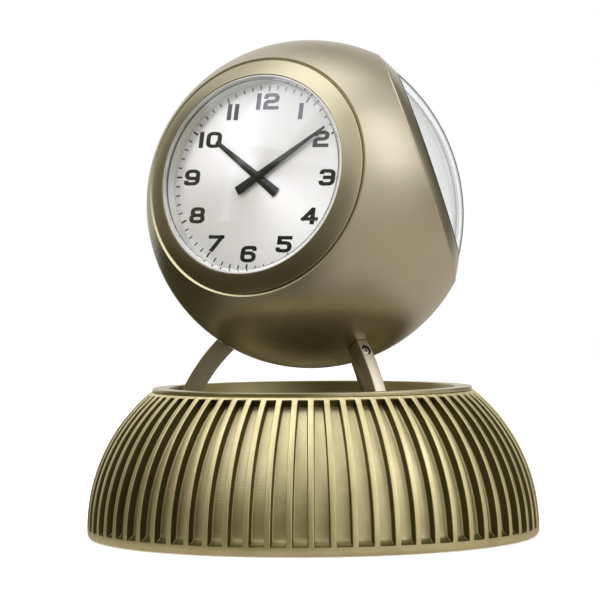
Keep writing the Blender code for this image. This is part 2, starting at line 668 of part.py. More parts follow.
def ball_shell():
    """Hollow ball with a stepped opening and a seat ring for each insert, and three bolt pads."""
    shell = faceted_ball("ball_shell", BALL_RADIUS, BALL_STEPS, "champagne")
    hollow = faceted_ball("ball_hollow", BALL_RADIUS - BALL_WALL, HOLLOW_STEPS)
    pad_top = BALL_WALL + PAD_HEIGHT
    for number in range(FACE_COUNT):
        boolean(hollow, seat_ring(number), solver="MANIFOLD")
    for number in range(LEG_COUNT):
        pad = at_bolt("bolt_pad", PAD_RADIUS, pad_top, BALL_WALL / 2, number)
        boolean(hollow, pad, solver="MANIFOLD")
    boolean(shell, hollow, solver="MANIFOLD")
    for number in range(FACE_COUNT):
        boolean(shell, opening(number), solver="MANIFOLD")
    for number in range(LEG_COUNT):
        hole = at_bolt("bolt_hole", LEG_BOLT_RADIUS + GAP, pad_top + OVERRUN, -OVERRUN, number)
        boolean(shell, hole, solver="MANIFOLD")


def bezel(tag, holder):
    """Cone-faced ring with a lip over the crystal and a spigot into the ball's seat."""
    back = SEAT_T + GAP
    lip_under = BEZEL_FRONT_T - BEZEL_LIP
    outline = [
        (BEZEL_BORE_RADIUS, BEZEL_FRONT_T), (BEZEL_RADIUS, BEZEL_EDGE_T), (BEZEL_RADIUS, back),
        (SPIGOT_RADIUS, back), (SPIGOT_RADIUS, SPIGOT_BACK_T), (SPIGOT_BORE, SPIGOT_BACK_T),
        (SPIGOT_BORE, lip_under), (BEZEL_BORE_RADIUS, lip_under)]
    turned("bezel" + tag, outline, "bezel_gold", holder, ring=True)


def crystal(tag, holder):
    """Thick domed glass with a flange under the bezel's lip."""
    mouth = CRYSTAL_SIDE - CRYSTAL_RIM_WIDTH
    inner_radius = DOME_RADIUS - CRYSTAL_THICKNESS
    inner_apex = CRYSTAL_APEX_T - CRYSTAL_THICKNESS
    outline = dome(DOME_RADIUS, CRYSTAL_APEX_T, 0, CRYSTAL_SIDE, DOME_STEPS)
    outline += [(CRYSTAL_SIDE, CRYSTAL_FLANGE_TOP), (INSERT_RADIUS, CRYSTAL_FLANGE_TOP),
                (INSERT_RADIUS, CRYSTAL_BACK_T), (mouth, CRYSTAL_BACK_T)]
    outline += dome(inner_radius, inner_apex, mouth, 0, DOME_STEPS)
    turned("crystal" + tag, outline, "glass", holder)


def gasket(tag, holder):
    radius = BEZEL_BORE_RADIUS - GAP
    washer("gasket" + tag, radius, radius - GASKET_THICKNESS, BEZEL_FRONT_T,
           CRYSTAL_FLANGE_TOP + GAP, finish="rubber", parent=holder)


def rehaut(tag, holder):
    """Sloping ring from the dial up to the crystal."""
    outline = [(REHAUT_TOP_RADIUS, REHAUT_TOP_T), (INSERT_RADIUS, REHAUT_TOP_T),
               (INSERT_RADIUS, REHAUT_FOOT_T), (REHAUT_FOOT_RADIUS, REHAUT_FOOT_T)]
    turned("rehaut" + tag, outline, "silver", holder, ring=True)


def dial(tag, holder):
    washer("dial" + tag, INSERT_RADIUS, DIAL_HOLE_RADIUS, DIAL_FRONT_T, DIAL_BACK_T,
           finish="silver", parent=holder)


def window(name, side, top, bottom, holder):
    """Cutter for a square window."""
    size = (side, side, top - bottom + OVERRUN)
    return block(name, size, (0, 0, (top + bottom) / 2), parent=holder)


def movement_holder(tag, holder):
    """Ring plate behind the dial, with a square window round the movement's front plate."""
    plate = disc("movement_holder" + tag, INSERT_RADIUS, HOLDER_FRONT_T, HOLDER_BACK_T,
                 finish="black_plastic", parent=holder)
    boolean(plate, window("holder_window" + tag, MOVEMENT_PLATE + GAP + GAP, HOLDER_FRONT_T,
                          HOLDER_BACK_T, holder))


def back_cover(tag, holder):
    """Threaded plate in the spigot, which clamps the movement's front plate."""
    top = HOLDER_BACK_T - GAP
    bottom = top - COVER_THICKNESS
    plate = disc("back_cover" + tag, INSERT_RADIUS, top, bottom, finish="steel", parent=holder)
    boolean(plate, window("cover_window" + tag, MOVEMENT_SIDE + GAP + GAP, top, bottom, holder))


def battery_bay():
    """Length, width and depth of the battery's bay."""
    length = BATTERY_LENGTH + BATTERY_NUB + GAP + GAP
    width = (BATTERY_RADIUS + GAP) * 2
    depth = BATTERY_RADIUS * 2 + GAP + GAP
    return length, width, depth


def movement_case(tag, holder):
    """Movement with a wide front plate, the hands' bore and an open battery bay at the back."""
    plate_size = (MOVEMENT_PLATE, MOVEMENT_PLATE, HOLDER_THICKNESS)
    case = block("movement_case" + tag, plate_size,
                 (0, 0, (HOLDER_FRONT_T + HOLDER_BACK_T) / 2), "black_plastic", holder)
    depth = MOVEMENT_DEPTH + HOLDER_THICKNESS / 2
    body = block("movement_body" + tag, (MOVEMENT_SIDE, MOVEMENT_SIDE, depth),
                 (0, 0, MOVEMENT_BACK_T + depth / 2), parent=holder)
    bore = disc("movement_bore" + tag, PIPE_RADIUS + GAP, HOLDER_FRONT_T + OVERRUN,
                MOVEMENT_BACK_T - OVERRUN, parent=holder, steps=FINE_STEPS)
    length, width, bay_depth = battery_bay()
    reach = bay_depth + OVERRUN
    bay = block("battery_bay" + tag, (length, width, reach),
                (0, -BATTERY_OFFSET, MOVEMENT_BACK_T + bay_depth - reach / 2), parent=holder)
    boolean(case, body, "UNION")
    boolean(case, bore)
    boolean(case, bay)


def battery(tag, holder):
    """Round cell that lies across the movement, its nub to one side."""
    depth = battery_bay()[2]
    half = (BATTERY_LENGTH + BATTERY_NUB) / 2
    shoulder = half - BATTERY_NUB
    outline = [(0, half), (BATTERY_NUB_RADIUS, half), (BATTERY_NUB_RADIUS, shoulder),
               (BATTERY_RADIUS, shoulder), (BATTERY_RADIUS, -half), (0, -half)]
    height = MOVEMENT_BACK_T + depth - GAP - BATTERY_RADIUS
    lying = Matrix.Translation((0, -BATTERY_OFFSET, height)) @ Matrix.Rotation(math.pi / 2, 4, "Y")
    turned("battery" + tag, outline, "battery_sleeve", holder, lying, steps=FINE_STEPS)


def setting_arbor(tag, holder):
    """Minute arbor with the setting knob at its back end."""
    top = MINUTE_HAND_T + HAND_THICKNESS
    outline = [(0, top), (ARBOR_RADIUS, top), (ARBOR_RADIUS, KNOB_FRONT_T),
               (KNOB_RADIUS, KNOB_FRONT_T), (KNOB_RADIUS, KNOB_BACK_T), (0, KNOB_BACK_T)]
    turned("setting_arbor" + tag, outline, "grey_plastic", holder, steps=FINE_STEPS)


def hour_pipe(tag, holder):
    top = HOUR_HAND_T + HAND_THICKNESS
    washer("hour_pipe" + tag, PIPE_RADIUS, ARBOR_RADIUS + GAP, top, top - PIPE_LENGTH,
           finish="brass", parent=holder, steps=FINE_STEPS)


def hand(name, length, tail, tip_width, under, bore, turn, holder):
    """Long tapered hand with a square tail, turned clockwise from twelve."""
    outline = [(-HAND_TAIL_WIDTH / 2, -tail), (HAND_TAIL_WIDTH / 2, -tail),
               (tip_width / 2, length), (-tip_width / 2, length)]
    middle = under + HAND_THICKNESS / 2
    matrix = Matrix.Translation((0, 0, middle)) @ Matrix.Rotation(-turn, 4, "Z")
    blade = plate_from_outline(name, outline, HAND_THICKNESS, "black_paint", holder, matrix)
    hole = disc(name + "_hole", bore, under + HAND_THICKNESS + OVERRUN, under - OVERRUN,
                parent=holder, steps=FINE_STEPS)
    boolean(blade, hole)


def hour_hand(tag, holder):
    hour = SHOWN_HOUR + SHOWN_MINUTE / HOUR_MINUTES
    turn = FULL_TURN * hour / CLOCK_HOURS
    hand("hour_hand" + tag, HOUR_HAND_LENGTH, HOUR_HAND_TAIL, HOUR_HAND_TIP_WIDTH, HOUR_HAND_T,
         PIPE_RADIUS + GAP, turn, holder)


def minute_hand(tag, holder):
    turn = FULL_TURN * SHOWN_MINUTE / HOUR_MINUTES
    hand("minute_hand" + tag, MINUTE_HAND_LENGTH, MINUTE_HAND_TAIL, MINUTE_HAND_TIP_WIDTH,
         MINUTE_HAND_T, ARBOR_RADIUS + GAP, turn, holder)


def hand_cap(tag, holder):
    under = MINUTE_HAND_T + HAND_THICKNESS + GAP
    disc("hand_cap" + tag, CAP_RADIUS, under + CAP_THICKNESS, under, finish="black_paint",
         parent=holder, steps=FINE_STEPS)


def insert(number):
    """One complete clock insert about its face's axis."""
    tag = f"_{number + 1}"
    holder = frame("insert" + tag, face_matrix(number))
    for piece in (bezel, crystal, gasket, rehaut, dial, movement_holder, movement_case, back_cover,
                  battery, setting_arbor, hour_pipe, hour_hand, minute_hand, hand_cap):
        piece(tag, holder)


def table_clock():
    empty_scene()
    base_casting()
    bowl_dish()
    base_plate()
    felt_pad()
    centre_bolt()
    for number in range(LEG_COUNT):
        leg(number)
        leg_foot_screw(number)
        leg_bolt(number)
        leg_set_screw(number)
    ball_shell()
    for number in range(FACE_COUNT):
        insert(number)


table_clock()
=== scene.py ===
"""Looks of the table clock: fine meshes, finishes, studio and camera around its fixed frame."""
import json
import math

import bmesh
import bpy
from mathutils import Matrix, Vector


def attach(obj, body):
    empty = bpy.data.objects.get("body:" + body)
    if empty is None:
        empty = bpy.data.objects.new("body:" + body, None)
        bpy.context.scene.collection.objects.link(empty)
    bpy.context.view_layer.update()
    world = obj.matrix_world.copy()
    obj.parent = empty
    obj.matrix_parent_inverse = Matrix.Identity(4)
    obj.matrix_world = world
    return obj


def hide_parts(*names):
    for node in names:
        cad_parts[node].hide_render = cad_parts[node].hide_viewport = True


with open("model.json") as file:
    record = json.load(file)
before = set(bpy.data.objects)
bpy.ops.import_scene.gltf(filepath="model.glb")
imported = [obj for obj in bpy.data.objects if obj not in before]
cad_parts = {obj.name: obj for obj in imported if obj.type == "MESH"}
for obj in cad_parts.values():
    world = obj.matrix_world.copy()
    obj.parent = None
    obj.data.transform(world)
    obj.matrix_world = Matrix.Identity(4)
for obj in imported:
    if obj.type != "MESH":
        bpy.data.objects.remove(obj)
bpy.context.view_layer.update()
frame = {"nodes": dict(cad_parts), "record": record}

MM = 0.001
MERGE = 0.000002
GAP = 0.3 * MM                  # clearance between pieces that touch
ROUND_STEPS = 192               # facets of a large turned piece
SMALL_STEPS = 48                # facets of a small turned piece
SHARP = math.radians(32)

# Ball and faces: t is the distance from the ball's centre along a face's axis
BALL_RADIUS = 100.0 * MM
BALL_CENTRE = Vector((0, 0, 202.0 * MM))
BALL_WALL = 3.5 * MM
BALL_LEAN = math.radians(4.7)
BALL_LEAN_TOWARDS = math.radians(18)
FACE_TILT = math.radians(17.4)
FACES = (1, 2, 3)
MOUTH_RADIUS = 71.2 * MM
MOUTH_CHAMFER = 1.5 * MM         # how wide the opening's flat chamfer is
MOUTH_DROP = 0.5 * MM            # and how deep
SKIN_REACH = 99.8 * MM          # from the ball's centre; a face further out is its outside
LIP_REACH = 99.0 * MM           # a face further out is an opening's chamfer
SEAT_T = 66.5 * MM
SEAT_UNDER_T = 62.5 * MM
SEAT_BORE = 66.0 * MM

# Bezel
BEZEL_RADIUS = 70.9 * MM
BEZEL_EDGE_T = 69.4 * MM
BEZEL_FRONT_T = 75.0 * MM
BEZEL_BORE = 60.6 * MM
BEZEL_LIP = 1.7 * MM
SPIGOT_RADIUS = 65.7 * MM
SPIGOT_BORE = 62.8 * MM
SPIGOT_BACK_T = 57.5 * MM

# Glass
INSERT_RADIUS = 62.5 * MM
GASKET = 1.05 * MM
GASKET_DROP = 0.5 * MM          # below the bezel's inner edge
DOME_APEX_T = 92.3 * MM
DOME_RADIUS = 112.6 * MM
GLASS_THICKNESS = 4.0 * MM
GLASS_RIM = 2.6 * MM
GLASS_FLANGE_TOP_T = 73.0 * MM
GLASS_BACK_T = 70.6 * MM
GLASS_SIDE = 59.2 * MM

# Dial
REHAUT_FOOT = 56.2 * MM
REHAUT_TOP = 59.4 * MM
DIAL_T = 64.4 * MM
DIAL_THICKNESS = 0.8 * MM
DIAL_HOLE = 2.2 * MM
INK = 0.05 * MM
NUMERAL_RADIUS = 45.9 * MM
NUMERAL_HEIGHT = 9.8 * MM
NUMERAL_WIDTH = 10.5 * MM
NUMERAL_UPRIGHT = 2.9 * MM      # width of the upright strokes
NUMERAL_LEVEL = 2.1 * MM        # height of the level strokes
NUMERAL_CORNER = 2.2 * MM
DIGIT_SPACE = 1.9 * MM
# Numerals that stand further right
SHIFTS = {"2": -1.0 * MM, "4": -2.2 * MM, "8": 1.7 * MM, "9": 0.8 * MM, "10": 3.8 * MM}
TICK_OUTER = 55.5 * MM
HOUR_TICK_INNER = 51.9 * MM
HOUR_TICK_WIDTH = 1.05 * MM
MINUTE_TICK_INNER = 53.0 * MM
MINUTE_TICK_WIDTH = 0.78 * MM
HOURS = 12
MINUTES = 60

# Hands
HAND_THICKNESS = 0.6 * MM
HAND_RIDGE = 0.45 * MM          # how far the ridge stands above the hand's edges
HAND_TAIL_WIDTH = 6.0 * MM
HOUR_HAND_T = 65.2 * MM
HOUR_HAND = (37.8 * MM, 16.5 * MM, 2.4 * MM)     # length, tail and tip width
MINUTE_HAND_T = 66.2 * MM
MINUTE_HAND = (50.6 * MM, 15.2 * MM, 1.5 * MM)
CAP_RADIUS = 1.8 * MM
CAP_T = 67.1 * MM
CAP_HEIGHT = 0.7 * MM
SHOWN_HOUR = 10
SHOWN_MINUTE = 9

# Foot casting
FOOT_RADIUS = 137.8 * MM
FOOT_LIFT = 0.4 * MM
FOOT_ROUND = 3.2 * MM
RING_TOP = 5.9 * MM
RIB_COUNT = 69
RIB_WIDTH = 3.4 * MM
RIB_ARC_RADIUS = 106.6 * MM
GROOVE_DEPTH = 5.5 * MM
GROOVE_LOW_RAMP = 5.5 * MM
GROOVE_TOP_RAMP = 0.4 * MM
SHOULDER_BAND = 1.9 * MM
SHOULDER_TOP = 88.3 * MM
CASTING_WALL = 4.5 * MM
CASTING_BORE = 90.2 * MM
PLATE_BORE = 127.9 * MM
PLATE_LEDGE = 123.5 * MM
PLATE_LEDGE_Z = 5.0 * MM
RIB_EDGE = 0.35 * MM
GROOVE_FILLET = 0.9 * MM
RIB_SHARE = 0.05                # what the groove attribute is on a rib's tip; 0 is the plain metal
RIB_RINGS = 18                  # divisions up a rib
INNER_RINGS = 10                # divisions up the casting's inside
COVE_SHARES = (0, 0.04, 0.15, 0.35, 0.6)    # of the low ramp, where the cove is divided
CORNER_TURNS = [math.pi / 2 * k / 4 for k in range(5)]   # turns round a rib's rounded corner

# Dish
DISH_TOP = 90.9 * MM
FLANGE_THICKNESS = 2.3 * MM
FLANGE_RADIUS = 97.5 * MM
DISH_MOUTH = 87.4 * MM
DISH_WALL = 2.5 * MM
DISH_FLOOR = 72.0 * MM
DISH_FLOOR_UNDER = 69.0 * MM
DISH_BOSS_RADIUS = 8.0 * MM
DISH_BOSS_UNDER = 61.0 * MM

# Legs, drawn in the plane through the ball's axis
LEG_WIDTH = 7.5 * MM
LEG_DEPTH = 11.6 * MM
LEG_BEND_RADIUS = 110.0 * MM
LEG_CONTACT_ANGLE = math.radians(58.2)
LEG_TOP_SLOPE = math.radians(45)
LEG_EDGE = 0.45 * MM
LEG_STEPS = 40
SET_SCREW_RADIUS = 2.2 * MM
SET_SCREW_HOLE = 2.8 * MM
SET_SCREW_OVAL = 1.3            # how much longer than wide the hole is
SET_SCREW_FROM_END = 8.6 * MM
SET_SCREW_RECESS = 1.0 * MM
SET_SCREW_LENGTH = 4.0 * MM
SET_SCREW_SOCKET = 1.25 * MM

# Studio
AMBIENT = 0.85
FLOOR_SIDE = 6.0
FLOOR_COLOUR = (0.82, 0.82, 0.81)
FLOOR_LIFT = 0.45               # glow that takes the pale floor up to white
CARD_DISTANCE = 1.9             # from the ball's centre to a card or a lamp
FLOOR_CARD_LIFT = 0.1 * MM
BEHIND = 140                    # cards past this azimuth don't show through the glass
OLIVE = (1.0, 0.92, 0.60)       # what the dark cards reflect
PALE_OLIVE = (1.0, 0.94, 0.86)
DEEP_OLIVE = (1.0, 0.97, 0.35)
COOL = (0.97, 1.0, 1.10)
# Cards that only reflections show: azimuth, elevation, width, height, radiance, colour, soft share
CARDS = (
    ("left_card", -70, 12, 2.7, 2.3, 0.23, OLIVE, 0.25),
    ("front_card", 4, 4, 3.0, 1.9, 0.19, OLIVE, 0.2),
    ("right_card", 122, 3, 1.2, 0.8, 0.42, OLIVE, 0.5),
    ("far_card", 161, 13, 1.3, 2.0, 0.05, OLIVE, 0.15),
    ("back_card", -172, 47, 1.6, 0.7, 0.45, OLIVE, 0.4),
    ("key_glow", 93, 36, 1.4, 1.7, 2.85, COOL, 0.45),
    ("front_glow", -21, 58, 1.45, 1.65, 2.55, COOL, 0.22),
    ("top_glow", 20, 88, 1.8, 1.8, 2.5, COOL, 0.5),
)
# Cards that lie on the floor and only reflections show, painted shade on the floor that the metal reflects,
# darkest in the dark card: azimuth, near and far end, width, radiance, colour, soft share
FLOOR_CARDS = (
    ("pale_floor_card", 130, -0.3, 2.9, 5.8, 0.80, PALE_OLIVE, 0.1),
    ("dark_floor_card", -50, -0.03, 2.4, 3.6, 0.055, DEEP_OLIVE, 0.08),
    ("near_floor_card", 25, -0.19, 0.19, 0.38, 0.45, PALE_OLIVE, 0.15),
)
LAMPS = (                       # azimuth, elevation, side and radiance
    ("key_lamp", 89, 42, 1.2, 2.2),
    ("front_lamp", -5, 58, 1.3, 5.4),
    ("top_lamp", 20, 88, 1.6, 2.0),
)

# Camera, fitted to the photograph
CAMERA_AZIMUTH = math.radians(29.2)
CAMERA_DISTANCE = 1.619
CAMERA_HEIGHT = 0.1555
CAMERA_PITCH = 0.0073
CAMERA_ROLL = 0.0087
SENSOR = 36.0
FRAME_PX = 600
FOCAL_PX = 2650
AXIS_PX = 311.4


def node(tree, kind, inputs=None, **settings):
    """A shader node with its socket values and settings."""
    made = tree.nodes.new("ShaderNode" + kind)
    for key, value in settings.items():
        setattr(made, key, value)
    for key, value in (inputs or {}).items():
        made.inputs[key].default_value = value
    return made


def new_material(name, **values):
    """A material with a Principled shader: returns the material, its tree and the shader."""
    material = bpy.data.materials.new(name)
    material.use_nodes = True
    tree = material.node_tree
    shader = tree.nodes["Principled BSDF"]
    for key, value in values.items():
        shader.inputs[key.replace("_", " ")].default_value = value
    return material, tree, shader


def object_noise(tree, stretch, scale, detail=2.0, roughness=0.5):
    """Noise on Object coordinates, stretched per axis: returns its factor socket."""
    place = node(tree, "TexCoord")
    mapping = node(tree, "Mapping", {"Scale": stretch})
    noise = node(tree, "TexNoise", {"Scale": scale, "Detail": detail, "Roughness": roughness})
    tree.links.new(place.outputs["Object"], mapping.inputs["Vector"])
    tree.links.new(mapping.outputs["Vector"], noise.inputs["Vector"])
    return noise.outputs["Fac"]


def between(tree, factor, low, high):
    """A factor spread between two values."""
    ramp = node(tree, "MapRange", {"To Min": low, "To Max": high})
    tree.links.new(factor, ramp.inputs["Value"])
    return ramp.outputs["Result"]


def blended(tree, factor, one, other, low=0.35, high=0.65):
    """Two colours mixed by a factor over a middle stretch."""
    ramp = node(tree, "ValToRGB")
    ramp.color_ramp.elements[0].position = low
    ramp.color_ramp.elements[0].color = (*one, 1)
    ramp.color_ramp.elements[1].position = high
    ramp.color_ramp.elements[1].color = (*other, 1)
    tree.links.new(factor, ramp.inputs["Fac"])
    return ramp.outputs["Color"]


def bumps(tree, shader, layers):
    """Chains (factor, distance) height layers into the shader's normal."""
    last = None
    for factor, distance in layers:
        bump = node(tree, "Bump", {"Distance": distance})
        tree.links.new(factor, bump.inputs["Height"])
        if last:
            tree.links.new(last, bump.inputs["Normal"])
        last = bump.outputs["Normal"]
    tree.links.new(last, shader.inputs["Normal"])


def satin_gold():
    """Champagne metal of the ball, brushed in fine level lines, with a painted highlight: a paler gold on
    each opening's chamfer.
    """
    material, tree, shader = new_material("satin_gold", Metallic=1.0, Anisotropic=0.35)
    tone = object_noise(tree, (1, 1, 1), 14, 3)
    satin = blended(tree, tone, (0.405, 0.354, 0.252), (0.435, 0.382, 0.275))
    lines = object_noise(tree, (12, 12, 1400), 1.0, 3, 0.7)
    grain = object_noise(tree, (1, 1, 1), 1600, 2, 0.6)
    inside = node(tree, "Attribute", attribute_name="inside")
    lip = node(tree, "Attribute", attribute_name="lip")
    # Painted highlight: the lip faces, the openings' chamfers, get a paler gold than the shell, for the
    # bright line the chamfer catches.
    colour = node(tree, "Mix", {7: (0.56, 0.51, 0.29, 1)}, data_type="RGBA")
    brushed = node(tree, "Math", operation="SUBTRACT", use_clamp=True)
    tangent = node(tree, "Tangent", direction_type="RADIAL", axis="Z")
    tree.links.new(lip.outputs["Fac"], colour.inputs[0])
    tree.links.new(satin, colour.inputs[6])
    tree.links.new(lines, brushed.inputs[0])
    tree.links.new(inside.outputs["Fac"], brushed.inputs[1])
    tree.links.new(colour.outputs[2], shader.inputs["Base Color"])
    rough = node(tree, "Math", {1: 0.35}, operation="MULTIPLY_ADD")
    tree.links.new(inside.outputs["Fac"], rough.inputs[0])
    tree.links.new(between(tree, brushed.outputs["Value"], 0.33, 0.45), rough.inputs[2])
    tree.links.new(rough.outputs["Value"], shader.inputs["Roughness"])
    tree.links.new(tangent.outputs["Tangent"], shader.inputs["Tangent"])
    bumps(tree, shader, [(brushed.outputs["Value"], 0.020 * MM), (grain, 0.010 * MM)])
    return material


def cast_gold():
    """Gilt casting: satin rib tips with a painted glint along their rounded edges, and rougher grooves with
    painted shade down their walls, slightly darker floors and level lines from the mould.
    """
    material, tree, shader = new_material("cast_gold", Metallic=1.0)
    tone = object_noise(tree, (1, 1, 1), 45, 4, 0.6)
    groove = node(tree, "Attribute", attribute_name="groove")
    shade_and_glint_ramp = node(tree, "ValToRGB")
    steps = shade_and_glint_ramp.color_ramp.elements
    steps[0].position, steps[0].color = 0.0, (0.80, 0.70, 0.395, 1)
    steps[1].position, steps[1].color = 0.99, (0.56, 0.48, 0.265, 1)
    # By depth share: 0.05 is a rib's tip; the paler stop at 0.09 is a painted glint on the tip's rounded
    # edges, and the near-black stops from 0.17 to 0.84 are painted shade down the groove walls.
    for position, wall in ((0.05, (0.62, 0.54, 0.29, 1)), (0.09, (0.76, 0.67, 0.365, 1)),
                           (0.17, (0.18, 0.15, 0.062, 1)), (0.84, (0.18, 0.15, 0.062, 1))):
        steps.new(position).color = wall
    patches = blended(tree, tone, (0.86, 0.84, 0.82), (1.0, 1.0, 1.0))
    colour = node(tree, "Mix", data_type="RGBA", blend_type="MULTIPLY")
    colour.inputs[0].default_value = 1.0
    tree.links.new(groove.outputs["Fac"], shade_and_glint_ramp.inputs["Fac"])
    tree.links.new(shade_and_glint_ramp.outputs["Color"], colour.inputs[6])
    tree.links.new(patches, colour.inputs[7])
    grain = object_noise(tree, (1, 1, 1), 1300, 4, 0.65)
    pits = object_noise(tree, (1, 1, 1), 420, 2, 0.5)
    lines = object_noise(tree, (25, 25, 1500), 1.0, 3, 0.6)
    in_groove = node(tree, "Math", operation="MULTIPLY")
    tree.links.new(lines, in_groove.inputs[0])
    tree.links.new(groove.outputs["Fac"], in_groove.inputs[1])
    tree.links.new(colour.outputs[2], shader.inputs["Base Color"])
    tree.links.new(between(tree, grain, 0.34, 0.56), shader.inputs["Roughness"])
    bumps(tree, shader, [(pits, 0.03 * MM), (grain, 0.03 * MM), (in_groove.outputs["Value"], 0.10 * MM)])
    return material


def turned_gold(name, colour_low, colour_high, roughness):
    """Turned metal with fine rings from the tool."""
    material, tree, shader = new_material(name, Metallic=1.0)
    tone = object_noise(tree, (1, 1, 1), 30, 3)
    colour = blended(tree, tone, colour_low, colour_high)
    grain = object_noise(tree, (1, 1, 1), 1500, 3, 0.6)
    tree.links.new(colour, shader.inputs["Base Color"])
    tree.links.new(between(tree, grain, roughness - 0.05, roughness + 0.06),
                   shader.inputs["Roughness"])
    bumps(tree, shader, [(grain, 0.010 * MM)])
    return material


def leg_bronze():
    """Brushed bronze bar, with its grain up the leg."""
    material, tree, shader = new_material("leg_bronze", Metallic=1.0)
    tone = object_noise(tree, (1, 1, 1), 60, 3)
    colour = blended(tree, tone, (0.42, 0.365, 0.265), (0.46, 0.40, 0.295))
    lines = object_noise(tree, (900, 900, 30), 1.0, 3, 0.6)
    tree.links.new(colour, shader.inputs["Base Color"])
    tree.links.new(between(tree, lines, 0.30, 0.44), shader.inputs["Roughness"])
    bumps(tree, shader, [(lines, 0.012 * MM)])
    return material


def dial_silver():
    """Satin silver dial, brushed in rays from its middle."""
    material, tree, shader = new_material("dial_silver", Metallic=0.66, Anisotropic=0.85)
    tone = object_noise(tree, (1, 1, 1), 18, 2)
    grain = object_noise(tree, (1, 1, 1), 1700, 2, 0.5)
    across = node(tree, "Attribute", attribute_name="across")
    colour = blended(tree, tone, (0.93, 0.893, 0.888), (0.955, 0.922, 0.915))
    tree.links.new(colour, shader.inputs["Base Color"])
    tree.links.new(across.outputs["Vector"], shader.inputs["Tangent"])
    tree.links.new(between(tree, grain, 0.34, 0.42), shader.inputs["Roughness"])
    return material


def plain(name, colour, roughness, metallic=0.0, grain_scale=900, grain_depth=0.01 * MM, **values):
    """A simple finish with a fine grain in roughness and height."""
    material, tree, shader = new_material(name, Metallic=metallic, **values)
    grain = object_noise(tree, (1, 1, 1), grain_scale, 3, 0.6)
    darker = tuple(share * 0.92 for share in colour)
    tree.links.new(blended(tree, grain, darker, colour), shader.inputs["Base Color"])
    tree.links.new(between(tree, grain, roughness * 0.9, min(1.0, roughness * 1.12)),
                   shader.inputs["Roughness"])
    bumps(tree, shader, [(grain, grain_depth)])
    return material


def clear_glass():
    """Thick clear glass, darker where it is seen along its surface: a green edge tint with painted shade
    along its silhouette. Lamps shine through it.
    """
    material = bpy.data.materials.new("clear_glass")
    material.use_nodes = True
    tree = material.node_tree
    tree.nodes.clear()
    glass = node(tree, "BsdfGlass", {"Roughness": 0.0, "IOR": 1.5})
    clear = node(tree, "BsdfTransparent", {"Color": (0.97, 0.975, 0.972, 1)})
    facing = node(tree, "LayerWeight", {"Blend": 0.5})
    # Painted shade: the glass turns a near black green where it is seen along its surface, for the dark
    # edges of the thick dome.
    edge_tint_and_shade = blended(tree, facing.outputs["Facing"], (0.99, 0.995, 0.992), (0.10, 0.12, 0.10), 0.82, 0.93)
    rays = node(tree, "LightPath")
    passing = node(tree, "Math", operation="MAXIMUM")
    mix = node(tree, "MixShader")
    out = node(tree, "OutputMaterial")
    tree.links.new(edge_tint_and_shade, glass.inputs["Color"])
    tree.links.new(rays.outputs["Is Shadow Ray"], passing.inputs[0])
    tree.links.new(rays.outputs["Is Diffuse Ray"], passing.inputs[1])
    tree.links.new(passing.outputs["Value"], mix.inputs["Fac"])
    tree.links.new(glass.outputs["BSDF"], mix.inputs[1])
    tree.links.new(clear.outputs["BSDF"], mix.inputs[2])
    tree.links.new(mix.outputs["Shader"], out.inputs["Surface"])
    return material


def finishes():
    """Every finish of the clock, by the record's slot names."""
    return {
        "satin_gold": satin_gold(),
        "cast_gold": cast_gold(),
        "turned_gold": turned_gold("turned_gold", (0.42, 0.365, 0.205), (0.46, 0.40, 0.23), 0.34),
        "bezel_gold": turned_gold("bezel_gold", (0.42, 0.367, 0.246), (0.45, 0.394, 0.266), 0.36),
        "leg_bronze": leg_bronze(),
        "steel": plain("steel", (0.60, 0.60, 0.58), 0.28, 1.0),
        "brass": plain("brass", (0.70, 0.53, 0.25), 0.30, 1.0),
        "glass": clear_glass(),
        "rubber": plain("rubber", (0.50, 0.49, 0.46), 0.50),
        # A grey well below the dial's silver: painted shade of the rehaut's recess under the bezel.
        "silver": plain("silver", (0.56, 0.55, 0.51), 0.34, 0.7),
        "dial_silver": dial_silver(),
        "black_paint": plain("black_paint", (0.006, 0.006, 0.006), 0.22, Coat_Weight=0.1,
                             Coat_Roughness=0.10, Specular_IOR_Level=0.3),
        "black_plastic": plain("black_plastic", (0.035, 0.035, 0.038), 0.48, grain_depth=0.03 * MM),
        "grey_plastic": plain("grey_plastic", (0.28, 0.28, 0.29), 0.46, grain_depth=0.03 * MM),
        "battery_sleeve": plain("battery_sleeve", (0.36, 0.12, 0.05), 0.30, 0.3),
        "felt": plain("felt", (0.035, 0.04, 0.035), 0.95, grain_scale=1800, grain_depth=0.25 * MM,
                      Sheen_Weight=0.4),
    }


FINISH = finishes()


def piece(name, bm, slot, body="root", stands_for=(), matrix=None, sharp=SHARP):
    """Puts a finished bmesh in place as a piece with its finish, its body and the nodes it replaces."""
    bmesh.ops.recalc_face_normals(bm, faces=bm.faces)
    if matrix is not None:
        bmesh.ops.transform(bm, matrix=matrix, verts=bm.verts)
    mesh = bpy.data.meshes.new(name)
    bm.to_mesh(mesh)
    bm.free()
    mesh.shade_smooth()
    mesh.set_sharp_from_angle(angle=sharp)
    mesh.materials.append(FINISH[slot])
    made = bpy.data.objects.new(name, mesh)
    bpy.context.scene.collection.objects.link(made)
    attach(made, body)
    if stands_for:
        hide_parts(*stands_for)
    return made


def outline_edges(bm, outline, closed):
    """The edges of a (radius, height, corner radius) outline, with its corners rounded."""
    verts = [bm.verts.new((point[0], 0, point[1])) for point in outline]
    edges = [bm.edges.new(pair) for pair in zip(verts, verts[1:])]
    if closed:
        edges.append(bm.edges.new((verts[-1], verts[0])))
    corners = [(vert, point[2]) for vert, point in zip(verts, outline) if len(point) > 2]
    for vert, radius in corners:
        bmesh.ops.bevel(bm, geom=[vert], offset=radius, offset_type="OFFSET", affect="VERTICES",
                        segments=3, profile=0.5, material=-1)


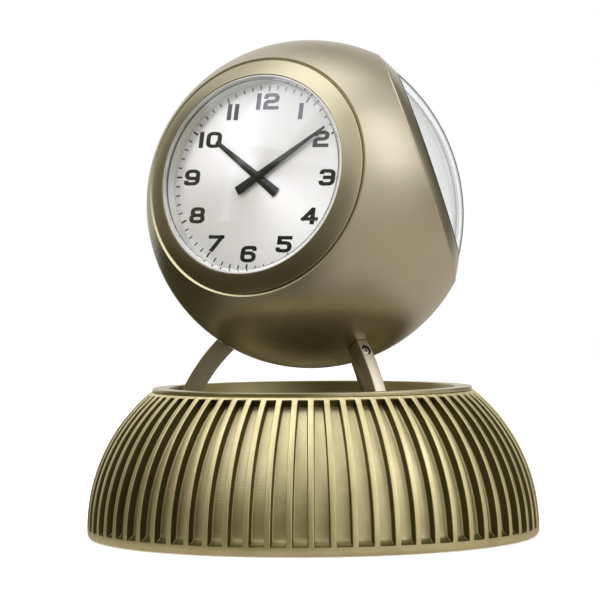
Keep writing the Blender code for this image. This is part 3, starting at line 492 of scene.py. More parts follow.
def turned(outline, closed=False, steps=ROUND_STEPS):
    """A bmesh turned from its (radius, height) outline, where a third value rounds that corner."""
    bm = bmesh.new()
    outline_edges(bm, outline, closed)
    bmesh.ops.spin(bm, geom=bm.verts[:] + bm.edges[:], cent=(0, 0, 0), axis=(0, 0, 1),
                   dvec=(0, 0, 0), angle=math.tau, steps=steps, use_merge=True,
                   use_normal_flip=False, use_duplicate=False)
    bmesh.ops.remove_doubles(bm, verts=bm.verts, dist=MERGE)
    return bm


def add_mesh(bm, other):
    """Adds another bmesh to a bmesh and frees it."""
    carrier = bpy.data.meshes.new("carrier")
    other.to_mesh(carrier)
    other.free()
    bm.from_mesh(carrier)
    bpy.data.meshes.remove(carrier)


def arc(centre_radius, centre_height, radius, start, end, steps):
    """(radius, height) points of an arc, angles counted up from outwards."""
    turns = [start + (end - start) * k / steps for k in range(steps + 1)]
    return [(centre_radius + radius * math.cos(a), centre_height + radius * math.sin(a))
            for a in turns]


def face_matrix(number):
    """Frame of a face: +Z out along its axis, +Y up on its dial, from the ball's centre."""
    lean_axis = Vector((math.cos(BALL_LEAN_TOWARDS), math.sin(BALL_LEAN_TOWARDS), 0))
    lean = Matrix.Rotation(BALL_LEAN, 4, lean_axis)
    azimuth = Matrix.Rotation(math.tau * (number - 1) / len(FACES), 4, "Z")
    tilt = Matrix.Rotation(math.pi / 2 - FACE_TILT, 4, "X")
    return Matrix.Translation(BALL_CENTRE) @ lean @ azimuth @ tilt


def leg_matrix(number):
    """Frame of a leg: +X outwards, half way between two faces."""
    azimuth = math.tau * (number - 1 / 2) / len(FACES)
    return Matrix.Rotation(azimuth - math.pi / 2, 4, "Z")


def move_loop(bm, verts, place, radius, height):
    """Moves a ring of vertices to a radius and height in a face's own frame."""
    back = place.inverted()
    for vert in verts:
        local = back @ vert.co
        flat = Vector((local.x, local.y, 0)).normalized() * radius
        vert.co = place @ Vector((flat.x, flat.y, height))


def drawn_in(bm, edges, place, stations):
    """Extrudes a ring of edges through (radius, height) stations in a face's frame."""
    for radius, height in stations:
        grown = bmesh.ops.extrude_edge_only(bm, edges=edges)["geom"]
        verts = [item for item in grown if isinstance(item, bmesh.types.BMVert)]
        edges = [item for item in grown if isinstance(item, bmesh.types.BMEdge)]
        move_loop(bm, verts, place, radius, height)
    return edges


def cut_ball(radius, distances):
    """A bmesh ball cut open at each face's distance, and the ring of edges of each opening."""
    bm = bmesh.new()
    bmesh.ops.create_uvsphere(bm, u_segments=ROUND_STEPS, v_segments=ROUND_STEPS // 2, radius=radius)
    bmesh.ops.translate(bm, vec=BALL_CENTRE, verts=bm.verts)
    rings = []
    for number, distance in zip(FACES, distances):
        place = face_matrix(number)
        normal = place.to_3x3() @ Vector((0, 0, 1))
        cut = bmesh.ops.bisect_plane(
            bm, geom=bm.verts[:] + bm.edges[:] + bm.faces[:], dist=MERGE,
            plane_co=BALL_CENTRE + normal * distance, plane_no=normal, clear_outer=True)
        rings.append([item for item in cut["geom_cut"] if isinstance(item, bmesh.types.BMEdge)])
    return bm, rings


def ball():
    """Ball shell: outside, lip, seat and bore of each opening, and the inner wall."""
    lip_radius = MOUTH_RADIUS + MOUTH_CHAMFER
    lip_t = math.sqrt(BALL_RADIUS ** 2 - lip_radius ** 2)
    mouth_t = lip_t - MOUTH_DROP
    bm, rings = cut_ball(BALL_RADIUS, [lip_t] * len(FACES))
    inner_radius = BALL_RADIUS - BALL_WALL
    ends = []
    for number, ring in zip(FACES, rings):
        place = face_matrix(number)
        move_loop(bm, {vert for edge in ring for vert in edge.verts}, place, lip_radius, lip_t)
        ends.append(drawn_in(bm, ring, place, [
            (MOUTH_RADIUS, mouth_t), (MOUTH_RADIUS, SEAT_T), (SEAT_BORE, SEAT_T),
            (SEAT_BORE, SEAT_UNDER_T)]))
    inner = cut_ball(inner_radius, [SEAT_UNDER_T] * len(FACES))[0]
    add_mesh(bm, inner)
    for number, end in zip(FACES, ends):
        place = face_matrix(number)
        back = place.inverted()
        brim = [edge for edge in bm.edges if edge.is_boundary and all(
            abs((back @ vert.co).z - SEAT_UNDER_T) < GAP for vert in edge.verts)]
        bmesh.ops.bridge_loops(bm, edges=brim)
    # The lip layer marks each opening's chamfer, which the finish paints paler as a painted highlight.
    for name in ("inside", "lip"):
        bm.faces.layers.float.new(name)
    inside, lip = bm.faces.layers.float["inside"], bm.faces.layers.float["lip"]
    for face in bm.faces:
        reach = (face.calc_center_median() - BALL_CENTRE).length
        face[inside] = float(reach < LIP_REACH)
        face[lip] = float(LIP_REACH <= reach < SKIN_REACH)
    piece("ball", bm, "satin_gold", stands_for=["ball_shell"])


def groove_depths():
    """(angle, depth of the groove) up a rib, where the groove has a hollow lower end."""
    top = math.asin((SHOULDER_TOP - RING_TOP) / RIB_ARC_RADIUS)
    end = top - SHOULDER_BAND / RIB_ARC_RADIUS
    low = GROOVE_LOW_RAMP / RIB_ARC_RADIUS
    last = end - GROOVE_TOP_RAMP / RIB_ARC_RADIUS
    cove = [(low * share, GROOVE_DEPTH * math.sqrt(1 - (1 - share) ** 2)) for share in COVE_SHARES]
    middle = [(low + (last - low) * k / RIB_RINGS, GROOVE_DEPTH) for k in range(RIB_RINGS + 1)]
    return cove + middle + [(end, 0), (top, 0)]


def casting_rows():
    """Closed section of the casting as (centre radius, centre height, arc radius, angle, depth)."""
    rows = [(FOOT_RADIUS - FOOT_ROUND, FOOT_LIFT + FOOT_ROUND, FOOT_ROUND, angle, 0)
            for angle in (-math.pi / 2, -math.pi / 3, -math.pi / 6, 0)]
    centre = FOOT_RADIUS - RIB_ARC_RADIUS
    rows += [(centre, RING_TOP, RIB_ARC_RADIUS, angle, depth) for angle, depth in groove_depths()]
    inner_radius = RIB_ARC_RADIUS - GROOVE_DEPTH - CASTING_WALL
    low = math.acos((PLATE_LEDGE - centre) / inner_radius)
    high = math.acos((CASTING_BORE - centre) / inner_radius)
    rows.append((CASTING_BORE, SHOULDER_TOP, 0, 0, 0))
    rows += [(centre, RING_TOP, inner_radius, high + (low - high) * k / INNER_RINGS, 0)
             for k in range(INNER_RINGS + 1)]
    rows += [(radius, height, 0, 0, 0) for radius, height in (
        (PLATE_LEDGE, PLATE_LEDGE_Z), (PLATE_BORE, PLATE_LEDGE_Z), (PLATE_BORE, FOOT_LIFT))]
    return rows


def on_section(row, sunk):
    """(radius, height) of a row of the section, sunk square to its arc."""
    centre_radius, centre_height, reach, angle = row[:4]
    return (centre_radius + (reach - sunk) * math.cos(angle),
            centre_height + (reach - sunk) * math.sin(angle))


def across_rib(depth):
    """(distance from the rib's middle plane, depth) from its tip, round both corners, to the floor."""
    size = min(1, depth / (RIB_EDGE + GROOVE_FILLET))
    edge, fillet = RIB_EDGE * size, GROOVE_FILLET * size
    half = RIB_WIDTH / 2
    tip = [(half - edge + edge * math.sin(a), edge - edge * math.cos(a)) for a in CORNER_TURNS]
    floor = [(half + fillet - fillet * math.cos(a), depth - fillet + fillet * math.sin(a))
             for a in CORNER_TURNS]
    return tip + floor


def half_pitch():
    """Half of one rib and half of a groove, from the rib's middle plane to the groove's."""
    bm = bmesh.new()
    rows = {}
    for row in casting_rows():
        radius, height = on_section(row, 0)
        rows[bm.verts.new((0, -radius, height))] = row
    ring = list(rows)
    edges = [bm.edges.new(pair) for pair in zip(ring, ring[1:] + ring[:1])]
    turn = math.pi / RIB_COUNT
    for step in range(len(CORNER_TURNS) * 2 + 1):
        grown = bmesh.ops.extrude_edge_only(bm, edges=edges)["geom"]
        edges = [item for item in grown if isinstance(item, bmesh.types.BMEdge)]
        next_rows = {}
        for vert in (item for item in grown if isinstance(item, bmesh.types.BMVert)):
            source = next(edge.other_vert(vert) for edge in vert.link_edges
                          if edge.other_vert(vert) in rows)
            row = next_rows[vert] = rows[source]
            if step < len(CORNER_TURNS) * 2:
                side, sunk = across_rib(row[4])[step]
                radius, height = on_section(row, sunk)
                vert.co = (side, -math.sqrt(radius ** 2 - side ** 2), height)
            else:
                radius, height = on_section(row, row[4])
                vert.co = (radius * math.sin(turn), -radius * math.cos(turn), height)
        rows = next_rows
    bmesh.ops.remove_doubles(bm, verts=bm.verts, dist=MERGE)
    return bm


def foot():
    """Ribbed casting: one rib between two half grooves, repeated round the axis."""
    bm = half_pitch()
    bmesh.ops.mirror(bm, geom=bm.verts[:] + bm.edges[:] + bm.faces[:], axis="X", merge_dist=MERGE)
    pitch = math.tau / RIB_COUNT
    bmesh.ops.rotate(bm, cent=(0, 0, 0), matrix=Matrix.Rotation(pitch / 2, 3, "Z"), verts=bm.verts)
    bmesh.ops.spin(bm, geom=bm.verts[:] + bm.edges[:] + bm.faces[:], cent=(0, 0, 0),
                   axis=(0, 0, 1), dvec=(0, 0, 0), angle=pitch * (RIB_COUNT - 1),
                   steps=RIB_COUNT - 1, use_duplicate=True)
    bmesh.ops.remove_doubles(bm, verts=bm.verts, dist=MERGE)
    # The groove layer places the finish's painted glint on the rib edges and its painted shade down the
    # groove walls.
    groove = bm.verts.layers.float.new("groove")
    for vert in bm.verts:
        reach = math.hypot(vert.co.xy.length - (FOOT_RADIUS - RIB_ARC_RADIUS), vert.co.z - RING_TOP)
        sunk = RIB_SHARE + (1 - RIB_SHARE) * (RIB_ARC_RADIUS - reach) / GROOVE_DEPTH
        ribbed = RING_TOP < vert.co.z < SHOULDER_TOP - SHOULDER_BAND
        vert[groove] = max(0, min(1, sunk)) if ribbed else 0
    piece("foot", bm, "cast_gold", stands_for=["base_casting"], sharp=math.radians(24))


def dish():
    """Turned dish with a flange whose edges are rounded."""
    wall = DISH_MOUTH + DISH_WALL
    bore = 3.3 * MM
    outline = [
        (0, DISH_FLOOR), (DISH_MOUTH, DISH_FLOOR, 2.0 * MM), (DISH_MOUTH, DISH_TOP, 0.5 * MM),
        (FLANGE_RADIUS, DISH_TOP, 0.5 * MM), (FLANGE_RADIUS, DISH_TOP - FLANGE_THICKNESS, 0.3 * MM),
        (wall, DISH_TOP - FLANGE_THICKNESS), (wall, DISH_FLOOR_UNDER, 0.5 * MM),
        (DISH_BOSS_RADIUS, DISH_FLOOR_UNDER), (DISH_BOSS_RADIUS, DISH_BOSS_UNDER),
        (bore, DISH_BOSS_UNDER), (bore, DISH_FLOOR_UNDER), (0, DISH_FLOOR_UNDER)]
    piece("dish", turned(outline), "turned_gold", stands_for=["bowl_dish"])


def leg_contact():
    """Where a leg's middle line meets the ball, in the leg's plane."""
    return Vector((BALL_RADIUS * math.cos(LEG_CONTACT_ANGLE), 0,
                   BALL_CENTRE.z - BALL_RADIUS * math.sin(LEG_CONTACT_ANGLE)))


def leg_bend_centre():
    back = Vector((math.sin(LEG_TOP_SLOPE), 0, math.cos(LEG_TOP_SLOPE)))
    return leg_contact() - LEG_BEND_RADIUS * back


def set_screw_matrix():
    """Frame of a set screw: +Z out of the leg's outer face."""
    slope = LEG_TOP_SLOPE + SET_SCREW_FROM_END / LEG_BEND_RADIUS
    outwards = Vector((math.sin(slope), 0, math.cos(slope)))
    point = leg_bend_centre() + (LEG_BEND_RADIUS + LEG_DEPTH / 2) * outwards
    return Matrix.Translation(point) @ Matrix.Rotation(slope, 4, "Y")


def cutter(name, bm, matrix=None):
    """A hidden object that a Boolean modifier cuts with."""
    if matrix is not None:
        bmesh.ops.transform(bm, matrix=matrix, verts=bm.verts)
    bmesh.ops.recalc_face_normals(bm, faces=bm.faces)
    mesh = bpy.data.meshes.new(name)
    bm.to_mesh(mesh)
    bm.free()
    made = bpy.data.objects.new(name, mesh)
    bpy.context.scene.collection.objects.link(made)
    return made


def cut(target, tool):
    """Cuts a piece with a tool, keeps the result as its mesh and removes the tool."""
    modifier = target.modifiers.new("cut", "BOOLEAN")
    modifier.operation = "DIFFERENCE"
    modifier.solver = "EXACT"
    modifier.object = tool
    graph = bpy.context.evaluated_depsgraph_get()
    mesh = bpy.data.meshes.new_from_object(target.evaluated_get(graph))
    target.modifiers.clear()
    old = target.data
    target.data = mesh
    bpy.data.meshes.remove(old)
    bpy.data.objects.remove(tool)
    target.data.shade_smooth()
    target.data.set_sharp_from_angle(angle=SHARP)


def leg(number):
    """Curved bar with softened edges, cut to the ball, with the set screw's hole."""
    place = leg_matrix(number)
    centre = leg_bend_centre()
    top = LEG_TOP_SLOPE - LEG_DEPTH / LEG_BEND_RADIUS
    floor = DISH_FLOOR + GAP
    outer = LEG_BEND_RADIUS + LEG_DEPTH / 2
    bottom = math.acos((floor - LEG_DEPTH - centre.z) / outer)
    bm = bmesh.new()
    bmesh.ops.create_grid(bm, x_segments=1, y_segments=1, size=1 / 2)
    bmesh.ops.scale(bm, vec=(LEG_DEPTH, LEG_WIDTH, 1), verts=bm.verts)
    bmesh.ops.bevel(bm, geom=bm.verts[:], offset=LEG_EDGE, affect="VERTICES", segments=3,
                    profile=0.5, material=-1)
    start = Matrix.Translation(centre) @ Matrix.Rotation(top - math.pi / 2, 4, "Y")
    start = start @ Matrix.Translation((LEG_BEND_RADIUS, 0, 0))
    bmesh.ops.transform(bm, matrix=start, verts=bm.verts)
    bmesh.ops.spin(bm, geom=bm.faces[:], cent=centre, axis=(0, 1, 0), dvec=(0, 0, 0),
                   angle=bottom - top, steps=LEG_STEPS, use_merge=False)
    bmesh.ops.remove_doubles(bm, verts=bm.verts, dist=MERGE)
    low = bmesh.ops.bisect_plane(
        bm, geom=bm.verts[:] + bm.edges[:] + bm.faces[:], dist=MERGE,
        plane_co=(0, 0, floor), plane_no=(0, 0, -1), clear_outer=True)
    rim = [item for item in low["geom_cut"] if isinstance(item, bmesh.types.BMEdge)]
    bmesh.ops.edgeloop_fill(bm, edges=rim)
    made = piece(f"leg_bar_{number}", bm, "leg_bronze", stands_for=[f"leg_{number}"], matrix=place)
    sphere = bmesh.new()
    bmesh.ops.create_uvsphere(sphere, u_segments=ROUND_STEPS, v_segments=ROUND_STEPS // 2,
                              radius=BALL_RADIUS + GAP)
    cut(made, cutter("ball_cut", sphere, Matrix.Translation(BALL_CENTRE)))
    hole = turned([(0, SET_SCREW_LENGTH), (SET_SCREW_HOLE, SET_SCREW_LENGTH),
                   (SET_SCREW_HOLE, -SET_SCREW_LENGTH - SET_SCREW_RECESS),
                   (0, -SET_SCREW_LENGTH - SET_SCREW_RECESS)], steps=SMALL_STEPS)
    bmesh.ops.scale(hole, vec=(SET_SCREW_OVAL, 1, 1), verts=hole.verts)
    cut(made, cutter("screw_cut", hole, place @ set_screw_matrix()))


def set_screw(number):
    """Headless screw with a six-sided socket, seated in the leg's outer face."""
    socket = bmesh.new()
    bmesh.ops.create_cone(socket, cap_ends=True, segments=6, radius1=SET_SCREW_SOCKET,
                          radius2=SET_SCREW_SOCKET, depth=SET_SCREW_LENGTH)
    top = -SET_SCREW_RECESS
    screw = turned([(0, top), (SET_SCREW_RADIUS, top, 0.3 * MM),
                    (SET_SCREW_RADIUS, top - SET_SCREW_LENGTH), (0, top - SET_SCREW_LENGTH)],
                   steps=SMALL_STEPS)
    matrix = leg_matrix(number) @ set_screw_matrix()
    made = piece(f"set_screw_{number}", screw, "steel", stands_for=[f"leg_set_screw_{number}"],
                 matrix=matrix)
    cut(made, cutter("socket_cut", socket, matrix))


def bezel(number, place, body):
    """Cone-faced ring with a spigot behind it."""
    back = SEAT_T + GAP
    lip_under = BEZEL_FRONT_T - BEZEL_LIP
    outline = [
        (BEZEL_BORE, BEZEL_FRONT_T, 0.35 * MM), (BEZEL_RADIUS, BEZEL_EDGE_T, 0.35 * MM),
        (BEZEL_RADIUS, back), (SPIGOT_RADIUS, back), (SPIGOT_RADIUS, SPIGOT_BACK_T, 0.4 * MM),
        (SPIGOT_BORE, SPIGOT_BACK_T), (SPIGOT_BORE, lip_under), (BEZEL_BORE, lip_under)]
    piece(f"bezel_ring_{number}", turned(outline, closed=True), "bezel_gold", body,
          [f"bezel_{number}"], place)


def dome_line(radius, apex, start, end, steps=24):
    """(radius, height) points down a dome from one distance off its axis to another."""
    angles = (math.asin(start / radius), math.asin(end / radius))
    turns = [angles[0] + (angles[1] - angles[0]) * k / steps for k in range(steps + 1)]
    return [(radius * math.sin(a), apex - radius + radius * math.cos(a)) for a in turns]


def glass(number, place, body):
    """Thick domed glass with its flange under the bezel's lip."""
    mouth = GLASS_SIDE - GLASS_RIM
    outline = dome_line(DOME_RADIUS, DOME_APEX_T, 0, GLASS_SIDE)
    outline += [(GLASS_SIDE, GLASS_FLANGE_TOP_T), (INSERT_RADIUS, GLASS_FLANGE_TOP_T),
                (INSERT_RADIUS, GLASS_BACK_T), (mouth, GLASS_BACK_T)]
    outline += dome_line(DOME_RADIUS - GLASS_THICKNESS, DOME_APEX_T - GLASS_THICKNESS, mouth, 0)
    piece(f"glass_{number}", turned(outline), "glass", body, [f"crystal_{number}"], place)


def gasket(number, place, body):
    outer = BEZEL_BORE - GAP
    top = BEZEL_FRONT_T - GASKET_DROP
    outline = [(outer - GASKET, top, 0.2 * MM), (outer, top, 0.2 * MM),
               (outer, GLASS_FLANGE_TOP_T + GAP), (outer - GASKET, GLASS_FLANGE_TOP_T + GAP)]
    piece(f"gasket_ring_{number}", turned(outline, closed=True), "rubber", body,
          [f"gasket_{number}"], place)


def rehaut(number, place, body):
    top, low = GLASS_BACK_T - GAP, DIAL_T + GAP
    outline = [(REHAUT_TOP, top), (INSERT_RADIUS, top), (INSERT_RADIUS, low), (REHAUT_FOOT, low)]
    # Its silver finish is darkened as painted shade of this recess under the bezel.
    piece(f"rehaut_ring_{number}", turned(outline, closed=True), "silver", body,
          [f"rehaut_{number}"], place)


def dial(number, place, body):
    """Dial plate, with the way across its brushed rays kept at each point."""
    outline = [(DIAL_HOLE, DIAL_T), (INSERT_RADIUS, DIAL_T), (INSERT_RADIUS, DIAL_T - DIAL_THICKNESS),
               (DIAL_HOLE, DIAL_T - DIAL_THICKNESS)]
    bm = turned(outline, closed=True)
    across = bm.verts.layers.float_vector.new("across")
    for vert in bm.verts:
        vert[across] = place.to_3x3() @ Vector((-vert.co.y, vert.co.x, 0)).normalized()
    piece(f"dial_plate_{number}", bm, "dial_silver", body, [f"dial_{number}"], place)


# Strokes of the numerals in shares of half their width and height
STROKE_SHARES = {
    "0": [[(-1, 1), (1, 1), (1, -1), (-1, -1), (-1, 1)]],
    "1": [[(0, 1), (0, -1)]],
    "2": [[(-1, 0.42), (-1, 1), (1, 1), (1, 0.0), (-1, 0.0), (-1, -1)], [(-1, -1), (1, -1)]],
    "3": [[(-1, 0.5), (-1, 1), (1, 1), (1, -1), (-1, -1), (-1, -0.5)], [(-0.35, 0), (0.9, 0)]],
    "4": [[(0.5, -1), (0.5, 1)], [(0.4, 1), (-1.05, -0.45)], [(-1.05, -0.45), (1.1, -0.45)]],
    "5": [[(0.95, 1), (-0.85, 1)], [(-0.85, 1), (-0.85, 0.2)],
          [(-0.85, 0.2), (1, 0.2), (1, -1), (-1, -1), (-1, -0.5)]],
    "6": [[(1, 0.5), (1, 1), (-1, 1), (-1, -1), (1, -1), (1, 0.15), (-1, 0.15)]],
    "7": [[(-1, 1), (1, 1)], [(0.95, 1), (-0.55, -1)]],
    "8": [[(-0.9, 1), (0.9, 1), (0.9, 0), (-0.9, 0), (-0.9, 1)],
          [(-1, 0), (1, 0), (1, -1), (-1, -1), (-1, 0)]],
    "9": [[(-1, -0.5), (-1, -1), (1, -1), (1, 1), (-1, 1), (-1, -0.15), (1, -0.15)]],
}


def rounded_path(points, radius, closed):
    """Points along a path whose corners are rounded off."""
    path = []
    count = len(points)
    for k, corner in enumerate(points):
        if not closed and k in (0, count - 1):
            path.append(corner)
            continue
        before = points[k - 1] - corner
        after = points[(k + 1) % count] - corner
        reach = min(radius, before.length / 2, after.length / 2)
        one, other = corner + before.normalized() * reach, corner + after.normalized() * reach
        for step in range(5):
            share = step / 4
            path.append(one * (1 - share) ** 2 + corner * 2 * share * (1 - share) + other * share ** 2)
    return path


def stroke_profile(width):
    """Curve object with a stroke's rectangular section, for the strokes' sweep."""
    curve = bpy.data.curves.new("stroke_section", "CURVE")
    curve.dimensions = "2D"
    spline = curve.splines.new("POLY")
    spline.points.add(3)
    for point, (x, y) in zip(spline.points, ((-1, -1), (1, -1), (1, 1), (-1, 1))):
        point.co = (x * width / 2, y * INK / 2, 0, 1)
    spline.use_cyclic_u = True
    section = bpy.data.objects.new("stroke_section", curve)
    bpy.context.scene.collection.objects.link(section)
    return section


def swept_strokes(paths, section):
    """Mesh data of (points, closed) paths swept with a section."""
    curve = bpy.data.curves.new("strokes", "CURVE")
    curve.dimensions = "2D"
    curve.bevel_mode = "OBJECT"
    curve.bevel_object = section
    curve.use_fill_caps = True
    for points, closed in paths:
        spline = curve.splines.new("POLY")
        spline.points.add(len(points) - 1)
        for point, place in zip(spline.points, points):
            point.co = (place.x, place.y, 0, 1)
        spline.use_cyclic_u = closed
    drawn = bpy.data.objects.new("strokes", curve)
    bpy.context.scene.collection.objects.link(drawn)
    graph = bpy.context.evaluated_depsgraph_get()
    mesh = bpy.data.meshes.new_from_object(drawn.evaluated_get(graph))
    bpy.data.objects.remove(drawn)
    return mesh


def numeral_paths(text, centre):
    """Paths of a numeral's strokes about its centre, drawn narrow for an even pen."""
    squeeze = NUMERAL_LEVEL / NUMERAL_UPRIGHT
    half_height = (NUMERAL_HEIGHT - NUMERAL_LEVEL) / 2
    half_width = (NUMERAL_WIDTH - NUMERAL_UPRIGHT) / 2
    widths = [0 if digit == "1" else half_width for digit in text]
    whole = sum(2 * width + NUMERAL_UPRIGHT for width in widths) + DIGIT_SPACE * (len(text) - 1)
    start = centre.x - whole / 2 + SHIFTS.get(text, 0)
    paths = []
    for digit, width in zip(text, widths):
        middle = start + width + NUMERAL_UPRIGHT / 2
        start += 2 * width + NUMERAL_UPRIGHT + DIGIT_SPACE
        for stroke in STROKE_SHARES[digit]:
            closed = stroke[0] == stroke[-1] and len(stroke) > 2
            points = [Vector(((middle + x * width) * squeeze, centre.y + y * half_height))
                      for x, y in stroke]
            if closed:
                points = points[:-1]
            elif len(stroke) == 2:
                way = (points[1] - points[0]).normalized() * NUMERAL_LEVEL / 2
                points = [points[0] - way, points[1] + way]
            paths.append((rounded_path(points, NUMERAL_CORNER, closed), closed))
    return paths


def print_on_dial(number, place, body, numerals):
    """The dial's printed numerals and minute marks, as thin raised ink."""
    bm = bmesh.new()
    bm.from_mesh(numerals)
    bmesh.ops.scale(bm, vec=(NUMERAL_UPRIGHT / NUMERAL_LEVEL, 1, 1), verts=bm.verts)
    bmesh.ops.translate(bm, vec=(0, 0, DIAL_T + INK), verts=bm.verts)
    bmesh.ops.remove_doubles(bm, verts=bm.verts, dist=MERGE)
    piece(f"numerals_{number}", bm, "black_paint", body, matrix=place)
    bm = bmesh.new()
    for mark in range(MINUTES // HOURS):
        inner, width = MINUTE_TICK_INNER, MINUTE_TICK_WIDTH
        if mark == 0:
            inner, width = HOUR_TICK_INNER, HOUR_TICK_WIDTH
        cube = bmesh.ops.create_cube(bm, size=1)["verts"]
        bmesh.ops.scale(bm, vec=(width, TICK_OUTER - inner, INK), verts=cube)
        bmesh.ops.translate(bm, vec=(0, (TICK_OUTER + inner) / 2, DIAL_T + INK), verts=cube)
        turn = Matrix.Rotation(-math.tau * mark / MINUTES, 3, "Z")
        bmesh.ops.rotate(bm, cent=(0, 0, 0), matrix=turn, verts=cube)
    bmesh.ops.spin(bm, geom=bm.verts[:] + bm.edges[:] + bm.faces[:], cent=(0, 0, 0),
                   axis=(0, 0, 1), dvec=(0, 0, 0), angle=math.tau * (HOURS - 1) / HOURS,
                   steps=HOURS - 1, use_duplicate=True)
    piece(f"minute_marks_{number}", bm, "black_paint", body, matrix=place)


def hand(name, sizes, height, turn, body, stands_for, place):
    """Long tapered hand with a square tail and a ridge along its middle."""
    length, tail, tip_width = sizes
    bm = bmesh.new()
    bmesh.ops.create_grid(bm, x_segments=2, y_segments=1, size=1 / 2)
    for vert in bm.verts:
        far = vert.co.y > 0
        width = tip_width if far else HAND_TAIL_WIDTH
        lift = 0 if abs(vert.co.x) > MERGE else HAND_RIDGE
        vert.co = (vert.co.x * width, length if far else -tail, height + HAND_THICKNESS - HAND_RIDGE + lift)
    grown = bmesh.ops.extrude_face_region(bm, geom=bm.faces[:])["geom"]
    for vert in (item for item in grown if isinstance(item, bmesh.types.BMVert)):
        vert.co.z = height
    bmesh.ops.rotate(bm, cent=(0, 0, 0), matrix=Matrix.Rotation(-turn, 3, "Z"), verts=bm.verts)
    piece(name, bm, "black_paint", body, stands_for, place, math.radians(5))


def hands(number, place):
    hour_turn = math.tau * (SHOWN_HOUR + SHOWN_MINUTE / MINUTES) / HOURS
    minute_turn = math.tau * SHOWN_MINUTE / MINUTES
    hand(f"hour_blade_{number}", HOUR_HAND, HOUR_HAND_T, hour_turn, f"hour_{number}",
         [f"hour_hand_{number}"], place)
    hand(f"minute_blade_{number}", MINUTE_HAND, MINUTE_HAND_T, minute_turn, f"minute_{number}",
         [f"minute_hand_{number}"], place)
    cap = [(0, CAP_T + CAP_HEIGHT), (CAP_RADIUS, CAP_T + CAP_HEIGHT, 0.3 * MM), (CAP_RADIUS, CAP_T),
           (0, CAP_T)]
    piece(f"hand_nut_{number}", turned(cap, steps=SMALL_STEPS), "black_paint", f"minute_{number}",
          [f"hand_cap_{number}"], place)


def inserts():
    """The three clock inserts."""
    section = stroke_profile(NUMERAL_LEVEL)
    paths = []
    for hour in range(1, HOURS + 1):
        turn = math.tau * hour / HOURS
        centre = Vector((math.sin(turn), math.cos(turn))) * NUMERAL_RADIUS
        paths += numeral_paths(str(hour), centre)
    numerals = swept_strokes(paths, section)
    bpy.data.objects.remove(section)
    for number in FACES:
        place, body = face_matrix(number), f"insert_{number}"
        bezel(number, place, body)
        glass(number, place, body)
        gasket(number, place, body)
        rehaut(number, place, body)
        dial(number, place, body)
        print_on_dial(number, place, body, numerals)
        hands(number, place)
    bpy.data.meshes.remove(numerals)


def carried_over():
    """Finishes for the CAD nodes that keep their own shape."""
    slots = {entry["node"]: entry["material_slot"] for entry in frame["record"]["subparts"]}
    for name, thing in frame["nodes"].items():
        thing.data.materials.clear()
        thing.data.materials.append(FINISH[slots[name]])


def background_rays(tree):
    """A factor of 1 for the rays that see the background: from the camera, off metal, through glass."""
    rays = node(tree, "LightPath")
    seen = node(tree, "Math", operation="MAXIMUM")
    seen_too = node(tree, "Math", operation="MAXIMUM")
    tree.links.new(rays.outputs["Is Camera Ray"], seen.inputs[0])
    tree.links.new(rays.outputs["Is Glossy Ray"], seen.inputs[1])
    tree.links.new(seen.outputs["Value"], seen_too.inputs[0])
    tree.links.new(rays.outputs["Is Transmission Ray"], seen_too.inputs[1])
    return seen_too.outputs["Value"]


def studio():
    """White surroundings, a pale floor, soft-edged cards round the clock and three lamps."""
    world = bpy.data.worlds.new("studio")
    bpy.context.scene.world = world
    world.use_nodes = True
    tree = world.node_tree
    tree.nodes.clear()
    light = node(tree, "Background", {"Color": (1, 1, 1, 1)})
    out = node(tree, "OutputWorld")
    tree.links.new(between(tree, background_rays(tree), AMBIENT, 1.0), light.inputs["Strength"])
    tree.links.new(light.outputs["Background"], out.inputs["Surface"])

    material, tree, shader = new_material("floor", Base_Color=(*FLOOR_COLOUR, 1), Roughness=0.9,
                                          Emission_Color=(1, 1, 1, 1))
    tree.links.new(between(tree, background_rays(tree), 0.0, FLOOR_LIFT),
                   shader.inputs["Emission Strength"])
    floor = stage_sheet("floor", FLOOR_SIDE, FLOOR_SIDE, material)
    floor.matrix_world = Matrix.Identity(4)
    for name, azimuth, elevation, width, height, radiance, colour, soft in CARDS:
        sheet = stage_sheet(name, width, height, card_glow(name, width, height, radiance, colour, soft))
        sheet.visible_transmission = abs(azimuth) < BEHIND
        place_card(sheet, azimuth, elevation)
    # The floor cards are painted shade: they darken the floor in reflections only, the dark one most.
    for level, (name, azimuth, near, far, width, radiance, colour, soft) in enumerate(FLOOR_CARDS):
        glow = card_glow(name, width, far - near, radiance, colour, soft)
        sheet = stage_sheet(name, width, far - near, glow)
        turn = Matrix.Rotation(math.radians(azimuth), 4, "Z")
        sheet.matrix_world = turn @ Matrix.Translation((0, -(near + far) / 2, FLOOR_CARD_LIFT * (level + 1)))
    for name, azimuth, elevation, side, radiance in LAMPS:
        lamp = bpy.data.lights.new(name, "AREA")
        lamp.size = side
        lamp.energy = radiance * math.pi * side ** 2
        made = bpy.data.objects.new(name, lamp)
        bpy.context.scene.collection.objects.link(made)
        made.visible_glossy = made.visible_transmission = False
        place_card(made, azimuth, elevation)


def stage_sheet(name, width, height, material):
    """A flat sheet of the studio, facing +Z."""
    bm = bmesh.new()
    bmesh.ops.create_grid(bm, x_segments=1, y_segments=1, size=1 / 2)
    bmesh.ops.scale(bm, vec=(width, height, 1), verts=bm.verts)
    mesh = bpy.data.meshes.new(name)
    bm.to_mesh(mesh)
    bm.free()
    mesh.materials.append(material)
    sheet = bpy.data.objects.new(name, mesh)
    bpy.context.scene.collection.objects.link(sheet)
    if name != "floor":
        sheet.visible_camera = sheet.visible_diffuse = sheet.visible_shadow = False
    return sheet


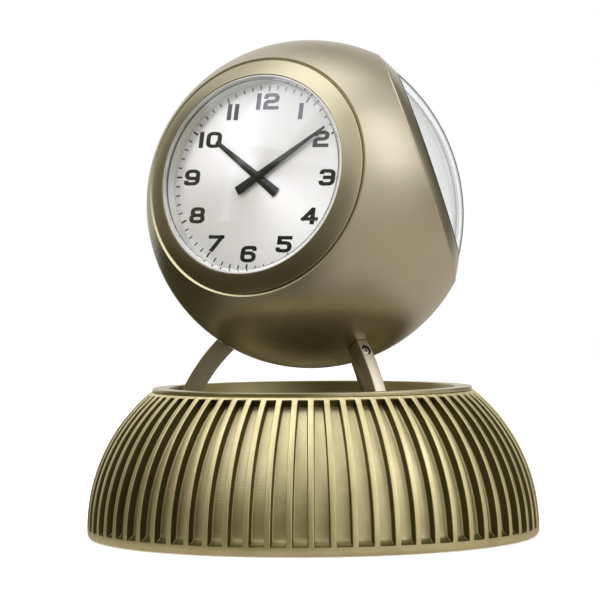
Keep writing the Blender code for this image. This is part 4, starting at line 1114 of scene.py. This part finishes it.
def place_card(thing, azimuth, elevation):
    """Sets a card or a lamp at its distance from the ball, facing it."""
    azimuth, elevation = math.radians(azimuth), math.radians(elevation)
    way = Vector((math.sin(azimuth) * math.cos(elevation), -math.cos(azimuth) * math.cos(elevation),
                  math.sin(elevation)))
    turn = Matrix.Rotation(azimuth, 4, "Z") @ Matrix.Rotation(math.pi / 2 - elevation, 4, "X")
    thing.matrix_world = Matrix.Translation(BALL_CENTRE + way * CARD_DISTANCE) @ turn


def faded_edge(tree, place, size, soft):
    """A factor that falls from 1 to 0 over the soft share next to both ends of a length."""
    reach = node(tree, "Math", operation="ABSOLUTE")
    fall = node(tree, "MapRange", {"From Min": size / 2 * (1 - soft), "From Max": size / 2,
                                   "To Min": 1, "To Max": 0}, interpolation_type="SMOOTHSTEP")
    tree.links.new(place, reach.inputs[0])
    tree.links.new(reach.outputs["Value"], fall.inputs["Value"])
    return fall.outputs["Result"]


def card_glow(name, width, height, radiance, colour, soft):
    """Glow of a card whose edges fade out."""
    material = bpy.data.materials.new(name)
    material.use_nodes = True
    tree = material.node_tree
    tree.nodes.clear()
    place = node(tree, "TexCoord")
    axes = node(tree, "SeparateXYZ")
    both = node(tree, "Math", operation="MULTIPLY")
    glow = node(tree, "Emission", {"Color": (*colour, 1), "Strength": radiance})
    clear = node(tree, "BsdfTransparent")
    mix = node(tree, "MixShader")
    out = node(tree, "OutputMaterial")
    tree.links.new(place.outputs["Object"], axes.inputs["Vector"])
    tree.links.new(faded_edge(tree, axes.outputs["X"], width, soft), both.inputs[0])
    tree.links.new(faded_edge(tree, axes.outputs["Y"], height, soft), both.inputs[1])
    tree.links.new(both.outputs["Value"], mix.inputs["Fac"])
    tree.links.new(clear.outputs["BSDF"], mix.inputs[1])
    tree.links.new(glow.outputs["Emission"], mix.inputs[2])
    tree.links.new(mix.outputs["Shader"], out.inputs["Surface"])
    return material


def camera():
    """The photograph's camera: long lens, a little above the dish, turned to the first face."""
    data = bpy.data.cameras.new("camera")
    data.sensor_width = SENSOR
    data.lens = SENSOR * FOCAL_PX / FRAME_PX
    data.shift_x = (FRAME_PX / 2 - AXIS_PX) / FRAME_PX
    made = bpy.data.objects.new("camera", data)
    place = Vector((math.sin(CAMERA_AZIMUTH) * CAMERA_DISTANCE,
                    -math.cos(CAMERA_AZIMUTH) * CAMERA_DISTANCE, CAMERA_HEIGHT))
    aim = Matrix.Rotation(CAMERA_AZIMUTH, 4, "Z") @ Matrix.Rotation(math.pi / 2 - CAMERA_PITCH, 4, "X")
    made.matrix_world = Matrix.Translation(place) @ aim @ Matrix.Rotation(-CAMERA_ROLL, 4, "Z")
    bpy.context.scene.collection.objects.link(made)
    bpy.context.scene.camera = made


carried_over()
foot()
dish()
ball()
for leg_number in FACES:
    leg(leg_number)
    set_screw(leg_number)
inserts()
studio()
camera()
bpy.context.scene.view_settings.view_transform = "Standard"
